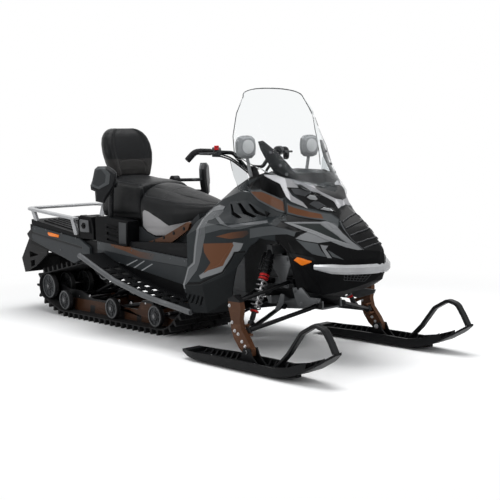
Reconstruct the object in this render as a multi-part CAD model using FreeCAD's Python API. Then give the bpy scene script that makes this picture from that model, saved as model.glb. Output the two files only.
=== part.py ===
import FreeCAD, Part
import math
import os

# A two-seat utility snowmobile with a long wide track, built as separate named pieces.
# Millimetres. +X is forward, +Y is the rider's left, +Z is up. The origin is on the ground,
# under the middle of the overall length and width.

V = FreeCAD.Vector
os.makedirs("parts", exist_ok=True)

# Overall and standing heights
GROUND = 0.0
WALL_PLASTIC = 6.0
SHEET_METAL = 4.0
PIN_PLAY = 0.3
EYE_PLAY = 0.8
MOVING_GAP = 6.0

# Track and the wheels that carry it
TRACK_WIDTH = 500.0
TRACK_PITCH_COUNT = 64
BELT_THICKNESS = 6.0
LUG_HEIGHT = 34.0
LUG_BASE = 24.0
LUG_TIP = 13.0
LUG_COLUMN_GAP = 26.0
IDLER_RADIUS = 70.0
WHEEL_PLAY = 0.3
IDLER_WIDTH = 32.0
IDLER_TRACK_HALF = TRACK_WIDTH / 2 - 38.0
IDLER_STATIONS = (-1183.0, -598.0, -116.0)
REAR_WHEEL_RADIUS = 89.0
REAR_AXLE_X = -1389.0
REAR_AXLE_Z = 193.0
REAR_WHEEL_SPACING = (-IDLER_TRACK_HALF, -75.0, 75.0, IDLER_TRACK_HALF)
SPROCKET_RADIUS = 80.0
DRIVE_X = 333.0
DRIVE_Z = 400.0
UPPER_IDLER_X = -670.0
UPPER_IDLER_Z = 358.0
RAIL_NOSE_RADIUS = 230.0
RAIL_NOSE_X = -60.0
AXLE_RADIUS = 12.5
AXLE_PLAY = 0.3

# Tunnel, boards and side rails
TUNNEL_HALF = TRACK_WIDTH / 2 + 16.0
TUNNEL_REAR_X = -1545.0
TUNNEL_FRONT_X = 430.0
BOARD_THICKNESS = 8.0
RAIL_TUBE_RADIUS = 16.0
RAIL_Y = 462.0
PANEL_Y = TUNNEL_HALF + 20.0
DECK_REAR_X = TUNNEL_REAR_X + 45.0
DECK_FRONT_X = -858.0
DECK_TOP_REAR = 668.0
DECK_TOP_FRONT = 585.0
DECK_HALF = TUNNEL_HALF + 14.0
CARGO_RISE = 8.0

# Steering and front suspension, given for the left side
COLUMN_TOP = V(600, 0, 955)
COLUMN_FOOT = V(935, 0, 345)
COLUMN_RADIUS = 16.0
KING_UP = V(957, 447, 334)
KING_LOW = V(1032, 455, 188)
KING_PIN_RADIUS = 8.0
KING_EYE_HALF = 14.0
KING_LUG_NEAR = 22.0
KING_LUG_THICK = 10.0
SPINDLE = V(1088, 489, 94)
SPINDLE_RADIUS = 8.0
SKI_Y = 500.0
SKI_HALF = 78.0
SKI_TAIL_X = 600.0
SKI_TIP_X = 1716.0
SKI_PLATE = 12.0
SKI_KEEL = 14.0

UP = V(0, 0, 1)
ACROSS = V(0, 1, 0)


# Shared ways of making solids
def save(name, shape):
    shape.exportStep("parts/" + name + ".step")
    built[name] = shape


def polygon_face(points):
    return Part.Face(Part.makePolygon(points + [points[0]]))


def plate(outline, y_low, y_high):
    """A plate whose side view is the outline of (x, z) points."""
    face = polygon_face([V(x, y_low, z) for x, z in outline])
    return face.extrude(V(0, y_high - y_low, 0))


def slab(outline, z_low, z_high):
    """A slab whose top view is the outline of (x, y) points."""
    face = polygon_face([V(x, y, z_low) for x, y in outline])
    return face.extrude(V(0, 0, z_high - z_low))


def cross_slice(outline, x_low, x_high):
    """A bar along X whose cross section is the outline of (y, z) points."""
    face = polygon_face([V(x_low, y, z) for y, z in outline])
    return face.extrude(V(x_high - x_low, 0, 0))


def block(low, high):
    size = V(*high) - V(*low)
    return Part.makeBox(size.x, size.y, size.z, V(*low))


def rod(start, end, radius):
    return Part.makeCylinder(radius, (end - start).Length, start, end - start)


def mirrored(shape):
    return shape.mirror(V(0, 0, 0), ACROSS)


def flipped(point):
    return V(point.x, -point.y, point.z)


def both_sides(shape):
    return Part.Compound(shape.Solids + mirrored(shape).Solids)


def main_solids(shape, least=2000.0):
    """The solids of a parted shape without the crumbs that a cut leaves."""
    return Part.Compound([s for s in shape.Solids if s.Volume > least])


def fused(first, *others):
    return first.fuse(list(others)).removeSplitter()


def rounded_path(points, bend):
    """Straight runs joined by tangent arcs of about the given radius."""
    edges = []
    last = points[0]
    for before, corner, after in zip(points, points[1:], points[2:]):
        back = (before - corner).normalize()
        on = (after - corner).normalize()
        half_turn = (math.pi - back.getAngle(on)) / 2
        reach = bend * math.tan(half_turn)
        reach = min(reach, 0.45 * (before - corner).Length, 0.45 * (after - corner).Length)
        radius = reach / math.tan(half_turn)
        entry = corner + back * reach
        leave = corner + on * reach
        middle_way = (back + on).normalize()
        depth = radius / math.cos(half_turn) - radius
        edges.append(Part.makeLine(last, entry))
        edges.append(Part.Arc(entry, corner + middle_way * depth, leave).toShape())
        last = leave
    edges.append(Part.makeLine(last, points[-1]))
    return Part.Wire(edges)


def swept(points, bend, section):
    """A section wire swept along a rounded path; the section is placed at its start."""
    path = rounded_path(points, bend)
    return path.makePipeShell([section], True, False)


def bent_tube(points, radius, bend):
    start = points[0]
    circle = Part.Circle(start, points[1] - points[0], radius).toShape()
    return swept(points, bend, Part.Wire([circle]))


def flat_bar(points, width, thickness, bend, width_way):
    """A flat bar swept along a path, its width lying along width_way at the start."""
    run = (points[1] - points[0]).normalize()
    side = (width_way - run * width_way.dot(run)).normalize()
    rise = run.cross(side)
    corners = [side * (a * width / 2) + rise * (b * thickness / 2) + points[0]
               for a, b in ((-1, -1), (1, -1), (1, 1), (-1, 1))]
    return swept(points, bend, Part.makePolygon(corners + [corners[0]]))


def lofted(sections, ruled=False):
    wires = [Part.makePolygon(s + [s[0]]) for s in sections]
    return Part.makeLoft(wires, True, ruled)


def triangle(a, b, c):
    if (b - a).cross(c - a).Length < 1e-3:
        return []
    return [polygon_face([a, b, c])]


def closed_solid(faces):
    shell = Part.Shell(faces)
    shell.sewShape()
    solid = Part.Solid(shell)
    if solid.Volume < 0:
        solid.reverse()
    return solid


def faceted(rings):
    """A closed solid through rings of points with flat facets, alike on both halves of a ring."""
    faces = []
    count = len(rings[0])
    for a, b in zip(rings, rings[1:]):
        for i in range(count):
            j = (i + 1) % count
            if i < count // 2:
                faces += triangle(a[i], a[j], b[j]) + triangle(a[i], b[j], b[i])
            else:
                faces += triangle(a[i], a[j], b[i]) + triangle(a[j], b[j], b[i])
    faces.append(polygon_face(rings[0]))
    faces.append(polygon_face(rings[-1]))
    return closed_solid(faces)


def sheet(grid, thickness):
    """A curved sheet of even thickness behind a grid of points on its outer face."""
    rows, columns = len(grid), len(grid[0])
    back = []
    for r in range(rows):
        line = []
        for c in range(columns):
            down = grid[min(r + 1, rows - 1)][c] - grid[max(r - 1, 0)][c]
            along = grid[r][min(c + 1, columns - 1)] - grid[r][max(c - 1, 0)]
            line.append(grid[r][c] - down.cross(along).normalize() * thickness)
        back.append(line)
    faces = []

    def quad(a, b, c, d):
        faces.extend(triangle(a, b, c) + triangle(a, c, d))

    for r in range(rows - 1):
        for c in range(columns - 1):
            quad(grid[r][c], grid[r][c + 1], grid[r + 1][c + 1], grid[r + 1][c])
            quad(back[r][c], back[r + 1][c], back[r + 1][c + 1], back[r][c + 1])
    for c in range(columns - 1):
        quad(grid[0][c], back[0][c], back[0][c + 1], grid[0][c + 1])
        quad(grid[-1][c], grid[-1][c + 1], back[-1][c + 1], back[-1][c])
    for r in range(rows - 1):
        quad(grid[r][0], grid[r + 1][0], back[r + 1][0], back[r][0])
        quad(grid[r][-1], back[r][-1], back[r + 1][-1], grid[r + 1][-1])
    return closed_solid(faces)


built = {}


# Track: a belt round its wheels, with rows of lugs on its outer face
def belt_arcs(circles):
    """The tangent loop round circles of (x, z, radius), listed clockwise seen from the right."""
    arcs = []
    count = len(circles)
    tangents = []
    for i in range(count):
        x0, z0, r0 = circles[i]
        x1, z1, r1 = circles[(i + 1) % count]
        gap = math.hypot(x1 - x0, z1 - z0)
        heading = math.atan2(z1 - z0, x1 - x0)
        normal = heading - math.acos((r0 - r1) / gap)
        tangents.append(normal)
    for i in range(count):
        arcs.append((circles[i], tangents[i - 1], tangents[i]))
    return arcs


def belt_points(circles, spacing):
    """Points and outward angles along the loop, dense on the arcs, keyed by path length."""
    samples = []
    length = 0.0
    for (x, z, radius), start, end in belt_arcs(circles):
        turn = (end - start) % (2 * math.pi)
        steps = max(1, int(math.ceil(turn * radius / spacing)))
        if samples:
            last = samples[-1]
            length += math.hypot(x + radius * math.cos(start) - last[1],
                                 z + radius * math.sin(start) - last[2])
        for k in range(steps + 1):
            angle = start + turn * k / steps
            samples.append((length + radius * turn * k / steps,
                            x + radius * math.cos(angle), z + radius * math.sin(angle), angle))
        length = samples[-1][0]
    first = samples[0]
    length += math.hypot(first[1] - samples[-1][1], first[2] - samples[-1][2])
    return samples, length


def at_length(samples, total, wanted):
    wanted %= total
    for a, b in zip(samples, samples[1:] + [(total,) + samples[0][1:]]):
        if a[0] <= wanted <= b[0] and b[0] > a[0]:
            t = (wanted - a[0]) / (b[0] - a[0])
            turn = (b[3] - a[3] + math.pi) % (2 * math.pi) - math.pi
            return a[1] + t * (b[1] - a[1]), a[2] + t * (b[2] - a[2]), a[3] + t * turn
    return samples[0][1:]


GROUND_WHEEL_Z = GROUND + LUG_HEIGHT + BELT_THICKNESS + IDLER_RADIUS
RAIL_NOSE_Z = GROUND + LUG_HEIGHT + BELT_THICKNESS + RAIL_NOSE_RADIUS
inner_loop = (
    (REAR_AXLE_X, REAR_AXLE_Z, REAR_WHEEL_RADIUS),
    (IDLER_STATIONS[0], GROUND_WHEEL_Z, IDLER_RADIUS),
    (RAIL_NOSE_X, RAIL_NOSE_Z, RAIL_NOSE_RADIUS),
    (DRIVE_X, DRIVE_Z, SPROCKET_RADIUS),
    (UPPER_IDLER_X, UPPER_IDLER_Z, IDLER_RADIUS),
)
outer_loop = tuple((x, z, r + BELT_THICKNESS) for x, z, r in inner_loop)


def loop_slab(circles, y_low, y_high):
    """What lies inside a belt loop, with true arcs round its circles."""
    runs = []
    for (x, z, radius), start, end in belt_arcs(circles):
        turn = (end - start) % (2 * math.pi)
        arc = [V(x + radius * math.cos(a), y_low, z + radius * math.sin(a))
               for a in (start, start + turn / 2, start + turn)]
        if runs:
            runs.append(Part.makeLine(runs[-1].lastVertex().Point, arc[0]))
        runs.append(Part.Arc(*arc).toShape())
    runs.append(Part.makeLine(runs[-1].lastVertex().Point, runs[0].firstVertex().Point))
    return Part.Face(Part.Wire(Part.__sortEdges__(runs))).extrude(V(0, y_high - y_low, 0))


def lugged_column(y_low, y_high, first_row, row_step):
    """A strip of the belt's outer side: its plain outline plus a lug at each chosen row."""
    samples, total = belt_points(outer_loop, 30.0)
    pitch = total / TRACK_PITCH_COUNT
    lugs = []
    for row in range(first_row, TRACK_PITCH_COUNT, row_step):
        centre = row * pitch
        foot = []
        for shift, rise in ((-LUG_BASE / 2, -BELT_THICKNESS / 2), (-LUG_TIP / 2, LUG_HEIGHT),
                            (LUG_TIP / 2, LUG_HEIGHT), (LUG_BASE / 2, -BELT_THICKNESS / 2)):
            x, z, angle = at_length(samples, total, centre)
            away = V(math.cos(angle), 0, math.sin(angle))
            along = V(-math.sin(angle), 0, math.cos(angle))
            foot.append(V(x, y_low, z) + away * rise + along * shift)
        lugs.append(polygon_face(foot).extrude(V(0, y_high - y_low, 0)))
    return lugs


def make_track():
    half = TRACK_WIDTH / 2
    _, total = belt_points(outer_loop, 30.0)
    belt = loop_slab(outer_loop, -half, half).cut(loop_slab(inner_loop, -half, half))
    column = (TRACK_WIDTH - 2 * LUG_COLUMN_GAP) / 3
    lugs = []
    lugs += lugged_column(-half, -half + column, 0, 1)
    lugs += lugged_column(-column / 2, column / 2, 0, 1)
    lugs += lugged_column(half - column, half, 0, 1)
    print("track loop length", round(total), "pitch", round(total / TRACK_PITCH_COUNT, 1))
    return belt.fuse(lugs)


save("track", make_track())


# Wheels, axles and rails inside the track
def turned(profile, centre):
    """A turned piece round an axle along Y; the profile lists (radius, offset along Y)."""
    face = polygon_face([V(r, offset, 0) for r, offset in profile])
    solid = face.revolve(V(0, 0, 0), ACROSS, 360)
    return solid.translated(centre)


def track_wheel(radius, width, centre, bore):
    half = width / 2
    rim, hub, web = 15.0, 27.0, 4.0
    profile = ((bore, -half), (hub, -half), (hub + 4, -web), (radius - rim, -web),
               (radius - rim + 3, -half), (radius - 3, -half), (radius, -half + 4),
               (radius, half - 4), (radius - 3, half), (radius - rim + 3, half),
               (radius - rim, web), (hub + 4, web), (hub, half), (bore, half))
    return turned(profile, centre)


def axle(x, z, half_length, radius=AXLE_RADIUS):
    return rod(V(x, -half_length, z), V(x, half_length, z), radius)


def make_wheels():
    idlers, axles = [], []
    for x in IDLER_STATIONS:
        for side in (-1, 1):
            centre = V(x, side * IDLER_TRACK_HALF, GROUND_WHEEL_Z)
            idlers.append(track_wheel(IDLER_RADIUS - WHEEL_PLAY, IDLER_WIDTH, centre, AXLE_RADIUS + AXLE_PLAY))
        axles.append(axle(x, GROUND_WHEEL_Z, IDLER_TRACK_HALF + IDLER_WIDTH / 2 + 6))
    for side in (-1, 1):
        centre = V(UPPER_IDLER_X, side * 120.0, UPPER_IDLER_Z)
        idlers.append(track_wheel(IDLER_RADIUS - WHEEL_PLAY, IDLER_WIDTH, centre, AXLE_RADIUS + AXLE_PLAY))
    axles.append(axle(UPPER_IDLER_X, UPPER_IDLER_Z, TUNNEL_HALF - SHEET_METAL))
    rear = [track_wheel(REAR_WHEEL_RADIUS - WHEEL_PLAY, IDLER_WIDTH, V(REAR_AXLE_X, y, REAR_AXLE_Z), AXLE_RADIUS + AXLE_PLAY)
            for y in REAR_WHEEL_SPACING]
    axles.append(axle(REAR_AXLE_X, REAR_AXLE_Z, IDLER_TRACK_HALF + IDLER_WIDTH / 2 + 8))
    drive_axle = axle(DRIVE_X, DRIVE_Z, TUNNEL_HALF - SHEET_METAL)
    sprockets = [track_wheel(SPROCKET_RADIUS - WHEEL_PLAY, 40.0, V(DRIVE_X, y, DRIVE_Z), AXLE_RADIUS)
                 for y in (-120.0, 120.0)]
    return idlers, rear, axles, [drive_axle] + sprockets


idlers, rear_wheels, axles, drive_set = make_wheels()
axle_group = Part.Compound(axles)
save("idler_wheels", Part.Compound(idlers))
save("rear_axle_wheels", Part.Compound(rear_wheels))
save("track_axles", axle_group)
save("drive_axle", Part.Compound([fused(*drive_set)]))


RAIL_HALF = 150.0
RAIL_THICKNESS = 12.0
SHOE_Z = GROUND + LUG_HEIGHT + BELT_THICKNESS + WHEEL_PLAY


def nose_point(radius, degrees):
    t = math.radians(degrees)
    return (RAIL_NOSE_X + radius * math.sin(t), RAIL_NOSE_Z - radius * math.cos(t))


def make_rail():
    nose_turns = (12, 24, 36, 48, 56)
    outline = [(REAR_AXLE_X - 26, REAR_AXLE_Z - 26), (REAR_AXLE_X + 30, REAR_AXLE_Z - 44),
               (IDLER_STATIONS[0] - 30, SHOE_Z + 34), (IDLER_STATIONS[0] + 40, SHOE_Z), (RAIL_NOSE_X, SHOE_Z)]
    outline += [nose_point(RAIL_NOSE_RADIUS - 1.0, t) for t in nose_turns]
    outline += [nose_point(RAIL_NOSE_RADIUS - 46, t) for t in reversed(nose_turns)]
    outline += [(RAIL_NOSE_X - 10, SHOE_Z + 62), (IDLER_STATIONS[2] - 60, SHOE_Z + 70),
                (IDLER_STATIONS[2] - 110, SHOE_Z + 150), (IDLER_STATIONS[2] - 220, SHOE_Z + 140),
                (IDLER_STATIONS[2] - 270, SHOE_Z + 78), (IDLER_STATIONS[1] + 60, SHOE_Z + 74),
                (IDLER_STATIONS[1] - 60, SHOE_Z + 100), (-900, SHOE_Z + 96),
                (-1060, SHOE_Z + 140), (IDLER_STATIONS[0] - 40, SHOE_Z + 140),
                (REAR_AXLE_X + 40, REAR_AXLE_Z + 30), (REAR_AXLE_X - 26, REAR_AXLE_Z + 26)]
    rail = plate(outline, RAIL_HALF, RAIL_HALF + RAIL_THICKNESS)
    return rail.cut(axle_group)


rail_left = make_rail()
rails = both_sides(rail_left)
save("skid_rails", rails)

ARM_TUBE = 17.0
FRONT_ARM_HIGH = V(40, 0, 372)
FRONT_ARM_LOW = V(-285, 0, 168)
REAR_ARM_HIGH = V(-500, 0, 372)
REAR_ARM_LOW = V(-1030, 0, 158)


def make_skid_arm(high, low, leg_half):
    """A suspension arm: a pivot tube across the tunnel, a foot tube across the rails, and two legs."""
    pivot_tube = rod(V(high.x, -TUNNEL_HALF + SHEET_METAL, high.z),
                     V(high.x, TUNNEL_HALF - SHEET_METAL, high.z), ARM_TUBE)
    foot_tube = rod(V(low.x, -RAIL_HALF, low.z), V(low.x, RAIL_HALF, low.z), ARM_TUBE)
    legs = [rod(V(high.x, side * leg_half, high.z), V(low.x, side * leg_half, low.z), ARM_TUBE - 3)
            for side in (-1, 1)]
    return fused(pivot_tube, foot_tube, *legs)


front_arm = make_skid_arm(FRONT_ARM_HIGH, FRONT_ARM_LOW, 105.0)
rear_arm = make_skid_arm(REAR_ARM_HIGH, REAR_ARM_LOW, 60.0)
save("skid_front_arm", front_arm)
save("skid_rear_arm", rear_arm)


def damper(top, foot, body_radius, rod_radius):
    """A telescopic damper with an eye at each end."""
    middle = top + (foot - top) * 0.55
    eye_half = V(0, 17, 0)
    return fused(rod(top, middle, body_radius), rod(middle, foot, rod_radius),
                 rod(top - eye_half, top + eye_half, 15.0), rod(foot - eye_half, foot + eye_half, 15.0))


centre_shock = damper(V(-140, 0, 330), V(-330, 0, 120), 24.0, 9.0)
rear_shock = damper(V(-640, 0, 240), V(-960, 0, 120), 26.0, 10.0)
shock_bars = [rod(V(-140, -105, 330), V(-140, 105, 330), 11.0),
              rod(V(-330, -RAIL_HALF, 120), V(-330, RAIL_HALF, 120), 11.0),
              rod(V(-640, -60, 240), V(-640, 60, 240), 11.0),
              rod(V(-960, -RAIL_HALF, 120), V(-960, RAIL_HALF, 120), 11.0)]
skid_shocks = Part.Compound([fused(centre_shock, *shock_bars[:2]), fused(rear_shock, *shock_bars[2:])])
save("skid_shocks", skid_shocks.cut(Part.Compound([front_arm, rear_arm])))


# Tunnel: an inverted U of sheet metal that covers the track
TUNNEL_TOP = ((TUNNEL_REAR_X, 630.0), (DECK_FRONT_X, 545.0), (TUNNEL_FRONT_X, 590.0))
TUNNEL_FOOT = ((TUNNEL_FRONT_X, 232.0), (60, 285.0), (-188, 325.0), (-420, 355.0), (-470, 335.0),
               (-680, 330.0), (-760, 385.0), (-940, 392.0), (TUNNEL_REAR_X, 490.0))


def raised(line, rise):
    return [(x, z + rise) for x, z in line]


def make_tunnel():
    wall = plate(list(TUNNEL_TOP) + list(TUNNEL_FOOT), TUNNEL_HALF - SHEET_METAL, TUNNEL_HALF)
    top_line = list(TUNNEL_TOP)
    top = plate(top_line + raised(reversed(top_line), -SHEET_METAL),
                -TUNNEL_HALF + SHEET_METAL, TUNNEL_HALF - SHEET_METAL)
    return fused(wall, mirrored(wall), top)


tunnel = make_tunnel()
save("tunnel", tunnel)

BOARD_LINE = ((-572, 485.0), (-376, 417.0), (-188, 355.0), (101, 295.0), (273, 271.0), (448, 252.0), (560, 238.0))


SLOT_START_X, SLOT_STEP, SLOT_LENGTH, SLOT_ROWS = -360.0, 78.0, 46.0, 10


def make_board():
    """The board's sheet with two rows of slots that let snow through."""
    outline = list(BOARD_LINE) + raised(reversed(BOARD_LINE), -BOARD_THICKNESS)
    board = plate(outline, TUNNEL_HALF, RAIL_Y - 4)
    slots = []
    for k in range(SLOT_ROWS):
        x = SLOT_START_X + SLOT_STEP * k
        for y in (PANEL_Y + 30, PANEL_Y + 100):
            slots.append(block((x, y, 200), (x + SLOT_LENGTH, y + 40, 520)))
    return board.cut(Part.Compound(slots))


def make_side_rail():
    points = [V(x, RAIL_Y, z - BOARD_THICKNESS / 2) for x, z in BOARD_LINE]
    return bent_tube(points, RAIL_TUBE_RADIUS, 220.0)


side_rail = make_side_rail()
board = make_board().cut(side_rail)
save("running_boards", both_sides(board))
save("side_rails", both_sides(side_rail))

tunnel_panel = plate([(-639, 554), (312, 496), (317, 339), (-637, 461)], TUNNEL_HALF, PANEL_Y).cut(board)
save("tunnel_panels", both_sides(tunnel_panel))

rear_panel = plate([(-1565, 560), (-1462, 624), (-858, 560), (-733, 505), (-733, 460), (-938, 389), (-1533, 527)],
                   TUNNEL_HALF, PANEL_Y)
save("rear_side_panels", both_sides(rear_panel))


# Cargo deck, rack and rear end
def deck_top(x):
    return DECK_TOP_REAR + (x - DECK_REAR_X) * (DECK_TOP_FRONT - DECK_TOP_REAR) / (DECK_FRONT_X - DECK_REAR_X)


def make_deck():
    """The deck over the tunnel, with a raised cargo floor between the rack's posts."""
    outline = [(DECK_REAR_X, DECK_TOP_REAR - 43), (DECK_FRONT_X, DECK_TOP_FRONT - 40), (DECK_FRONT_X, DECK_TOP_FRONT),
               (DECK_REAR_X, DECK_TOP_REAR)]
    deck = plate(outline, -DECK_HALF, DECK_HALF)
    floor_rear, floor_front = DECK_REAR_X + 100, DECK_FRONT_X - 84
    floor_line = [(floor_rear, deck_top(floor_rear) - 5), (floor_front, deck_top(floor_front) - 5)]
    floor = plate(floor_line + raised(reversed(floor_line), CARGO_RISE + 5), -DECK_HALF + 45, DECK_HALF - 45)
    return fused(deck, floor).cut(tunnel).cut(both_sides(rear_panel))


deck = make_deck()
save("cargo_deck", deck)

RACK_REAR = V(DECK_REAR_X - 13, DECK_HALF + 19, 746)
RACK_FRONT = V(DECK_FRONT_X - 11, DECK_HALF + 19, 692)
RACK_WIDTH, RACK_BAR = 38.0, 10.0


def make_rack():
    corners = [RACK_FRONT, RACK_REAR, flipped(RACK_REAR), flipped(RACK_FRONT)]
    bar = flat_bar(corners, RACK_WIDTH, RACK_BAR, 70.0, ACROSS)
    posts = []
    for x, y in ((DECK_REAR_X + 60, DECK_HALF - 18), (DECK_FRONT_X - 42, DECK_HALF - 10)):
        deck_z = deck_top(x)
        bar_z = RACK_REAR.z + (x - RACK_REAR.x) * (RACK_FRONT.z - RACK_REAR.z) / (RACK_FRONT.x - RACK_REAR.x)
        post = cross_slice([(y, deck_z - 6), (y + 12, deck_z - 6), (y + 38, bar_z), (y + 26, bar_z)], x - 18, x + 18)
        posts += [post, mirrored(post)]
    return fused(bar, *posts).cut(deck)


save("rack", make_rack())

save("tail_light", block((DECK_REAR_X - 16, -70, 636), (DECK_REAR_X, 70, 660)).cut(deck))


def make_flap():
    gusset = plate([(-1565, 556), (-1560, 500), (-1346, 470), (-1346, 430), (-1520, 330), (-1677, 274), (-1717, 375), (-1600, 520)],
                   240, 252)
    window_high = plate([(-1600, 432), (-1600, 385), (-1470, 412)], 230, 262)
    window_low = plate([(-1590, 362), (-1530, 376), (-1530, 333), (-1585, 318)], 230, 262)
    gusset = gusset.cut(window_high).cut(window_low)
    back = plate([(-1560, 556), (-1600, 520), (-1717, 375), (-1677, 274), (-1669, 276), (-1708, 375), (-1592, 514), (-1548, 550)],
                 -240, 240)
    notch = block((-1700, -50, 395), (-1540, 50, 570))
    return fused(gusset, mirrored(gusset), back).cut(notch).cut(tunnel).cut(both_sides(rear_panel))


flap = make_flap()
save("snow_flap", flap)

HITCH_X, HITCH_Z, HITCH_BORE = TUNNEL_REAR_X - 117, 500.0, 9.0


def make_hitch():
    side = [(TUNNEL_REAR_X + 30, 40), (HITCH_X + 42, 30), (HITCH_X - 18, 22)]
    tongue = slab(side + [(HITCH_X - 28, 0)] + [(x, -y) for x, y in reversed(side)], HITCH_Z, HITCH_Z + 10)
    lower = tongue.translated(V(0, 0, -40))
    spine = block((HITCH_X + 62, -26, HITCH_Z - 30), (TUNNEL_REAR_X + 30, 26, HITCH_Z))
    bore = rod(V(HITCH_X, 0, HITCH_Z - 60), V(HITCH_X, 0, HITCH_Z + 60), HITCH_BORE)
    cross = block((TUNNEL_REAR_X + 10, -TUNNEL_HALF + SHEET_METAL, HITCH_Z + 10), (TUNNEL_REAR_X + 30, TUNNEL_HALF - SHEET_METAL, HITCH_Z + 60))
    return fused(tongue, lower, spine, cross).cut(bore)


hitch = make_hitch().cut(flap)
save("tow_hitch", hitch)


LATCH_EDGE = ((-876, 560), (-878, 690), (-846, 716), (-716, 706), (-690, 640), (-690, 560))


def make_latch():
    """The box at each front corner of the deck that holds its latch."""
    body = plate(list(LATCH_EDGE), 232, PANEL_Y - 8)
    face = plate([(-850, 600), (-850, 690), (-730, 682), (-716, 600)], PANEL_Y - 8, PANEL_Y - 2)
    return fused(body, face).cut(tunnel).cut(deck).cut(both_sides(rear_panel))


latch = make_latch()

# Seats, backrest and side boxes
# A crowned profile for the driver and a flatter one for the passenger: shares of the half width
# and of the height, from the middle of the top down the side.
CROWNED = ((0.0, 1.0), (0.34, 0.97), (0.62, 0.89), (0.82, 0.78), (0.94, 0.66), (1.0, 0.5), (1.0, 0.3), (0.95, 0.0))
FLAT_TOPPED = ((0.0, 1.0), (0.5, 0.99), (0.78, 0.95), (0.92, 0.86), (0.99, 0.7), (1.0, 0.4), (0.97, 0.0))
DRIVER_SECTIONS = ((-262, 926, 652, 206), (-200, 922, 622, 211), (-120, 908, 600, 212), (-30, 886, 602, 207),
                   (60, 864, 622, 194), (150, 841, 660, 160), (230, 820, 702, 120), (285, 808, 738, 84),
                   (322, 798, 766, 46))
PASSENGER_SECTIONS = ((-712, 968, 712, 192), (-690, 982, 706, 198), (-600, 966, 700, 202), (-480, 950, 700, 204),
                      (-340, 938, 700, 206), (-290, 934, 700, 206), (-266, 920, 700, 204))


def seat_section(x, top, bottom, half_width, profile):
    right = [V(x, -half_width * across, bottom + up * (top - bottom)) for across, up in profile]
    return right + [flipped(p) for p in reversed(right[1:])]


seat = lofted([seat_section(*s, CROWNED) for s in DRIVER_SECTIONS], True)
save("driver_seat", seat)

rear_seat = lofted([seat_section(*s, FLAT_TOPPED) for s in PASSENGER_SECTIONS], True)
save("passenger_seat", rear_seat)

# The backrest's pad: shares of its length with the half width there and how far the front bulges
BACK_FOOT = V(-652, 0, 955)
BACK_LEAN = V(-75, 0, 326)
BACK_ROWS = ((0.0, 138, 0), (0.12, 152, 6), (0.3, 172, 12), (0.5, 184, 14), (0.68, 182, 10), (0.82, 168, 4),
             (0.92, 142, -4), (0.975, 112, -14), (1.0, 84, -26))
# One cross section, from the middle of the front round the bolster to the middle of the back
PAD_SHARES = ((0.0, 40), (0.36, 42), (0.56, 40), (0.64, 38), (0.74, 56), (0.88, 54), (0.98, 34), (1.0, 6), (0.94, -26),
              (0.7, -42), (0.0, -50))


def make_backrest():
    """A rounded pad that leans back, with a bolster down each side of its middle panel."""
    sections = []
    for share, half, bulge in BACK_ROWS:
        base = BACK_FOOT + BACK_LEAN * share
        right = [base + V(out + (bulge if out > 0 else 0), -half * across, 0) for across, out in PAD_SHARES]
        sections.append(right + [flipped(p) for p in reversed(right[1:-1])])
    return lofted(sections, True)


backrest = make_backrest().cut(rear_seat)
save("backrest", backrest)


def tunnel_top(x):
    (x0, z0), (x1, z1) = TUNNEL_TOP[1:]
    return z0 + (x - x0) * (z1 - z0) / (x1 - x0)


def make_seat_base():
    outline = [(-712, tunnel_top(-712)), (-712, 700), (-440, 690), (-262, 650), (-120, 598), (60, 620), (230, 698),
               (320, 755), (330, tunnel_top(330))]
    base = plate(outline, -195, 195)
    return base.cut(tunnel).cut(seat).cut(rear_seat)


seat_base = make_seat_base()
save("seat_base", seat_base)


def make_back_frame():
    """The backrest's post and the panel below the pad."""
    post = plate([(-800, 560), (-760, 560), (-700, 960), (-735, 1120), (-765, 1110), (-740, 960)], -60, 60)
    return post.cut(backrest).cut(rear_seat).cut(seat_base).cut(tunnel).cut(deck)


back_frame = make_back_frame()
save("backrest_frame", back_frame)


def make_side_box():
    box = plate([(-650, 540), (-650, 712), (-560, 716), (-282, 694), (-300, 539)], 196, PANEL_Y)
    for k in range(3):
        slot = plate([(-520, 660 - 40 * k), (-395, 650 - 40 * k), (-395, 634 - 40 * k), (-520, 644 - 40 * k)],
                     PANEL_Y - 8, PANEL_Y + 10)
        box = box.cut(slot)
    return box.cut(tunnel).cut(seat_base).cut(tunnel_panel).cut(rear_seat).cut(seat)


side_box = make_side_box()
save("side_boxes", both_sides(side_box))
latch = latch.cut(rear_seat).cut(seat_base).cut(side_box).cut(both_sides(board)).cut(back_frame)
save("deck_latches", both_sides(main_solids(latch)))


def make_strut():
    outline = [(-199, 535), (-60, 545), (9, 500), (60, 512), (70, 560), (267, 660), (290, 700), (262, 706), (20, 610), (-190, 556)]
    strut = plate(outline, 222, 240)
    return strut.cut(tunnel).cut(seat).cut(seat_base)


strut = make_strut()
save("frame_struts", both_sides(strut))

GRIP_HUB = V(-494, 250, 928)
GRIP_END = V(-357, 380, 927)


GUARD_CENTRE = V(-357, 395, 962)
GUARD_FACING = V(0.75, 0.66, 0).normalize()
GUARD_EDGE = ((-76, 34), (-60, 54), (-26, 76), (34, 76), (54, 60), (72, -10), (84, -40), (82, -66), (58, -76),
              (56, -138), (6, -150), (-16, -112), (-52, -64), (-74, -12))
GUARD_DEPTH, GUARD_FACE_SHRINK = 46.0, 0.84


def guard_ring(depth, shrink):
    """The guard's outline, moved along the way it faces and drawn in towards its middle."""
    side = V(GUARD_FACING.y, -GUARD_FACING.x, 0)
    middle = V(0, 0, -30)
    return [GUARD_CENTRE + GUARD_FACING * depth + middle + (side * -t + V(0, 0, z) - middle) * shrink
            for t, z in GUARD_EDGE]


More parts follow.
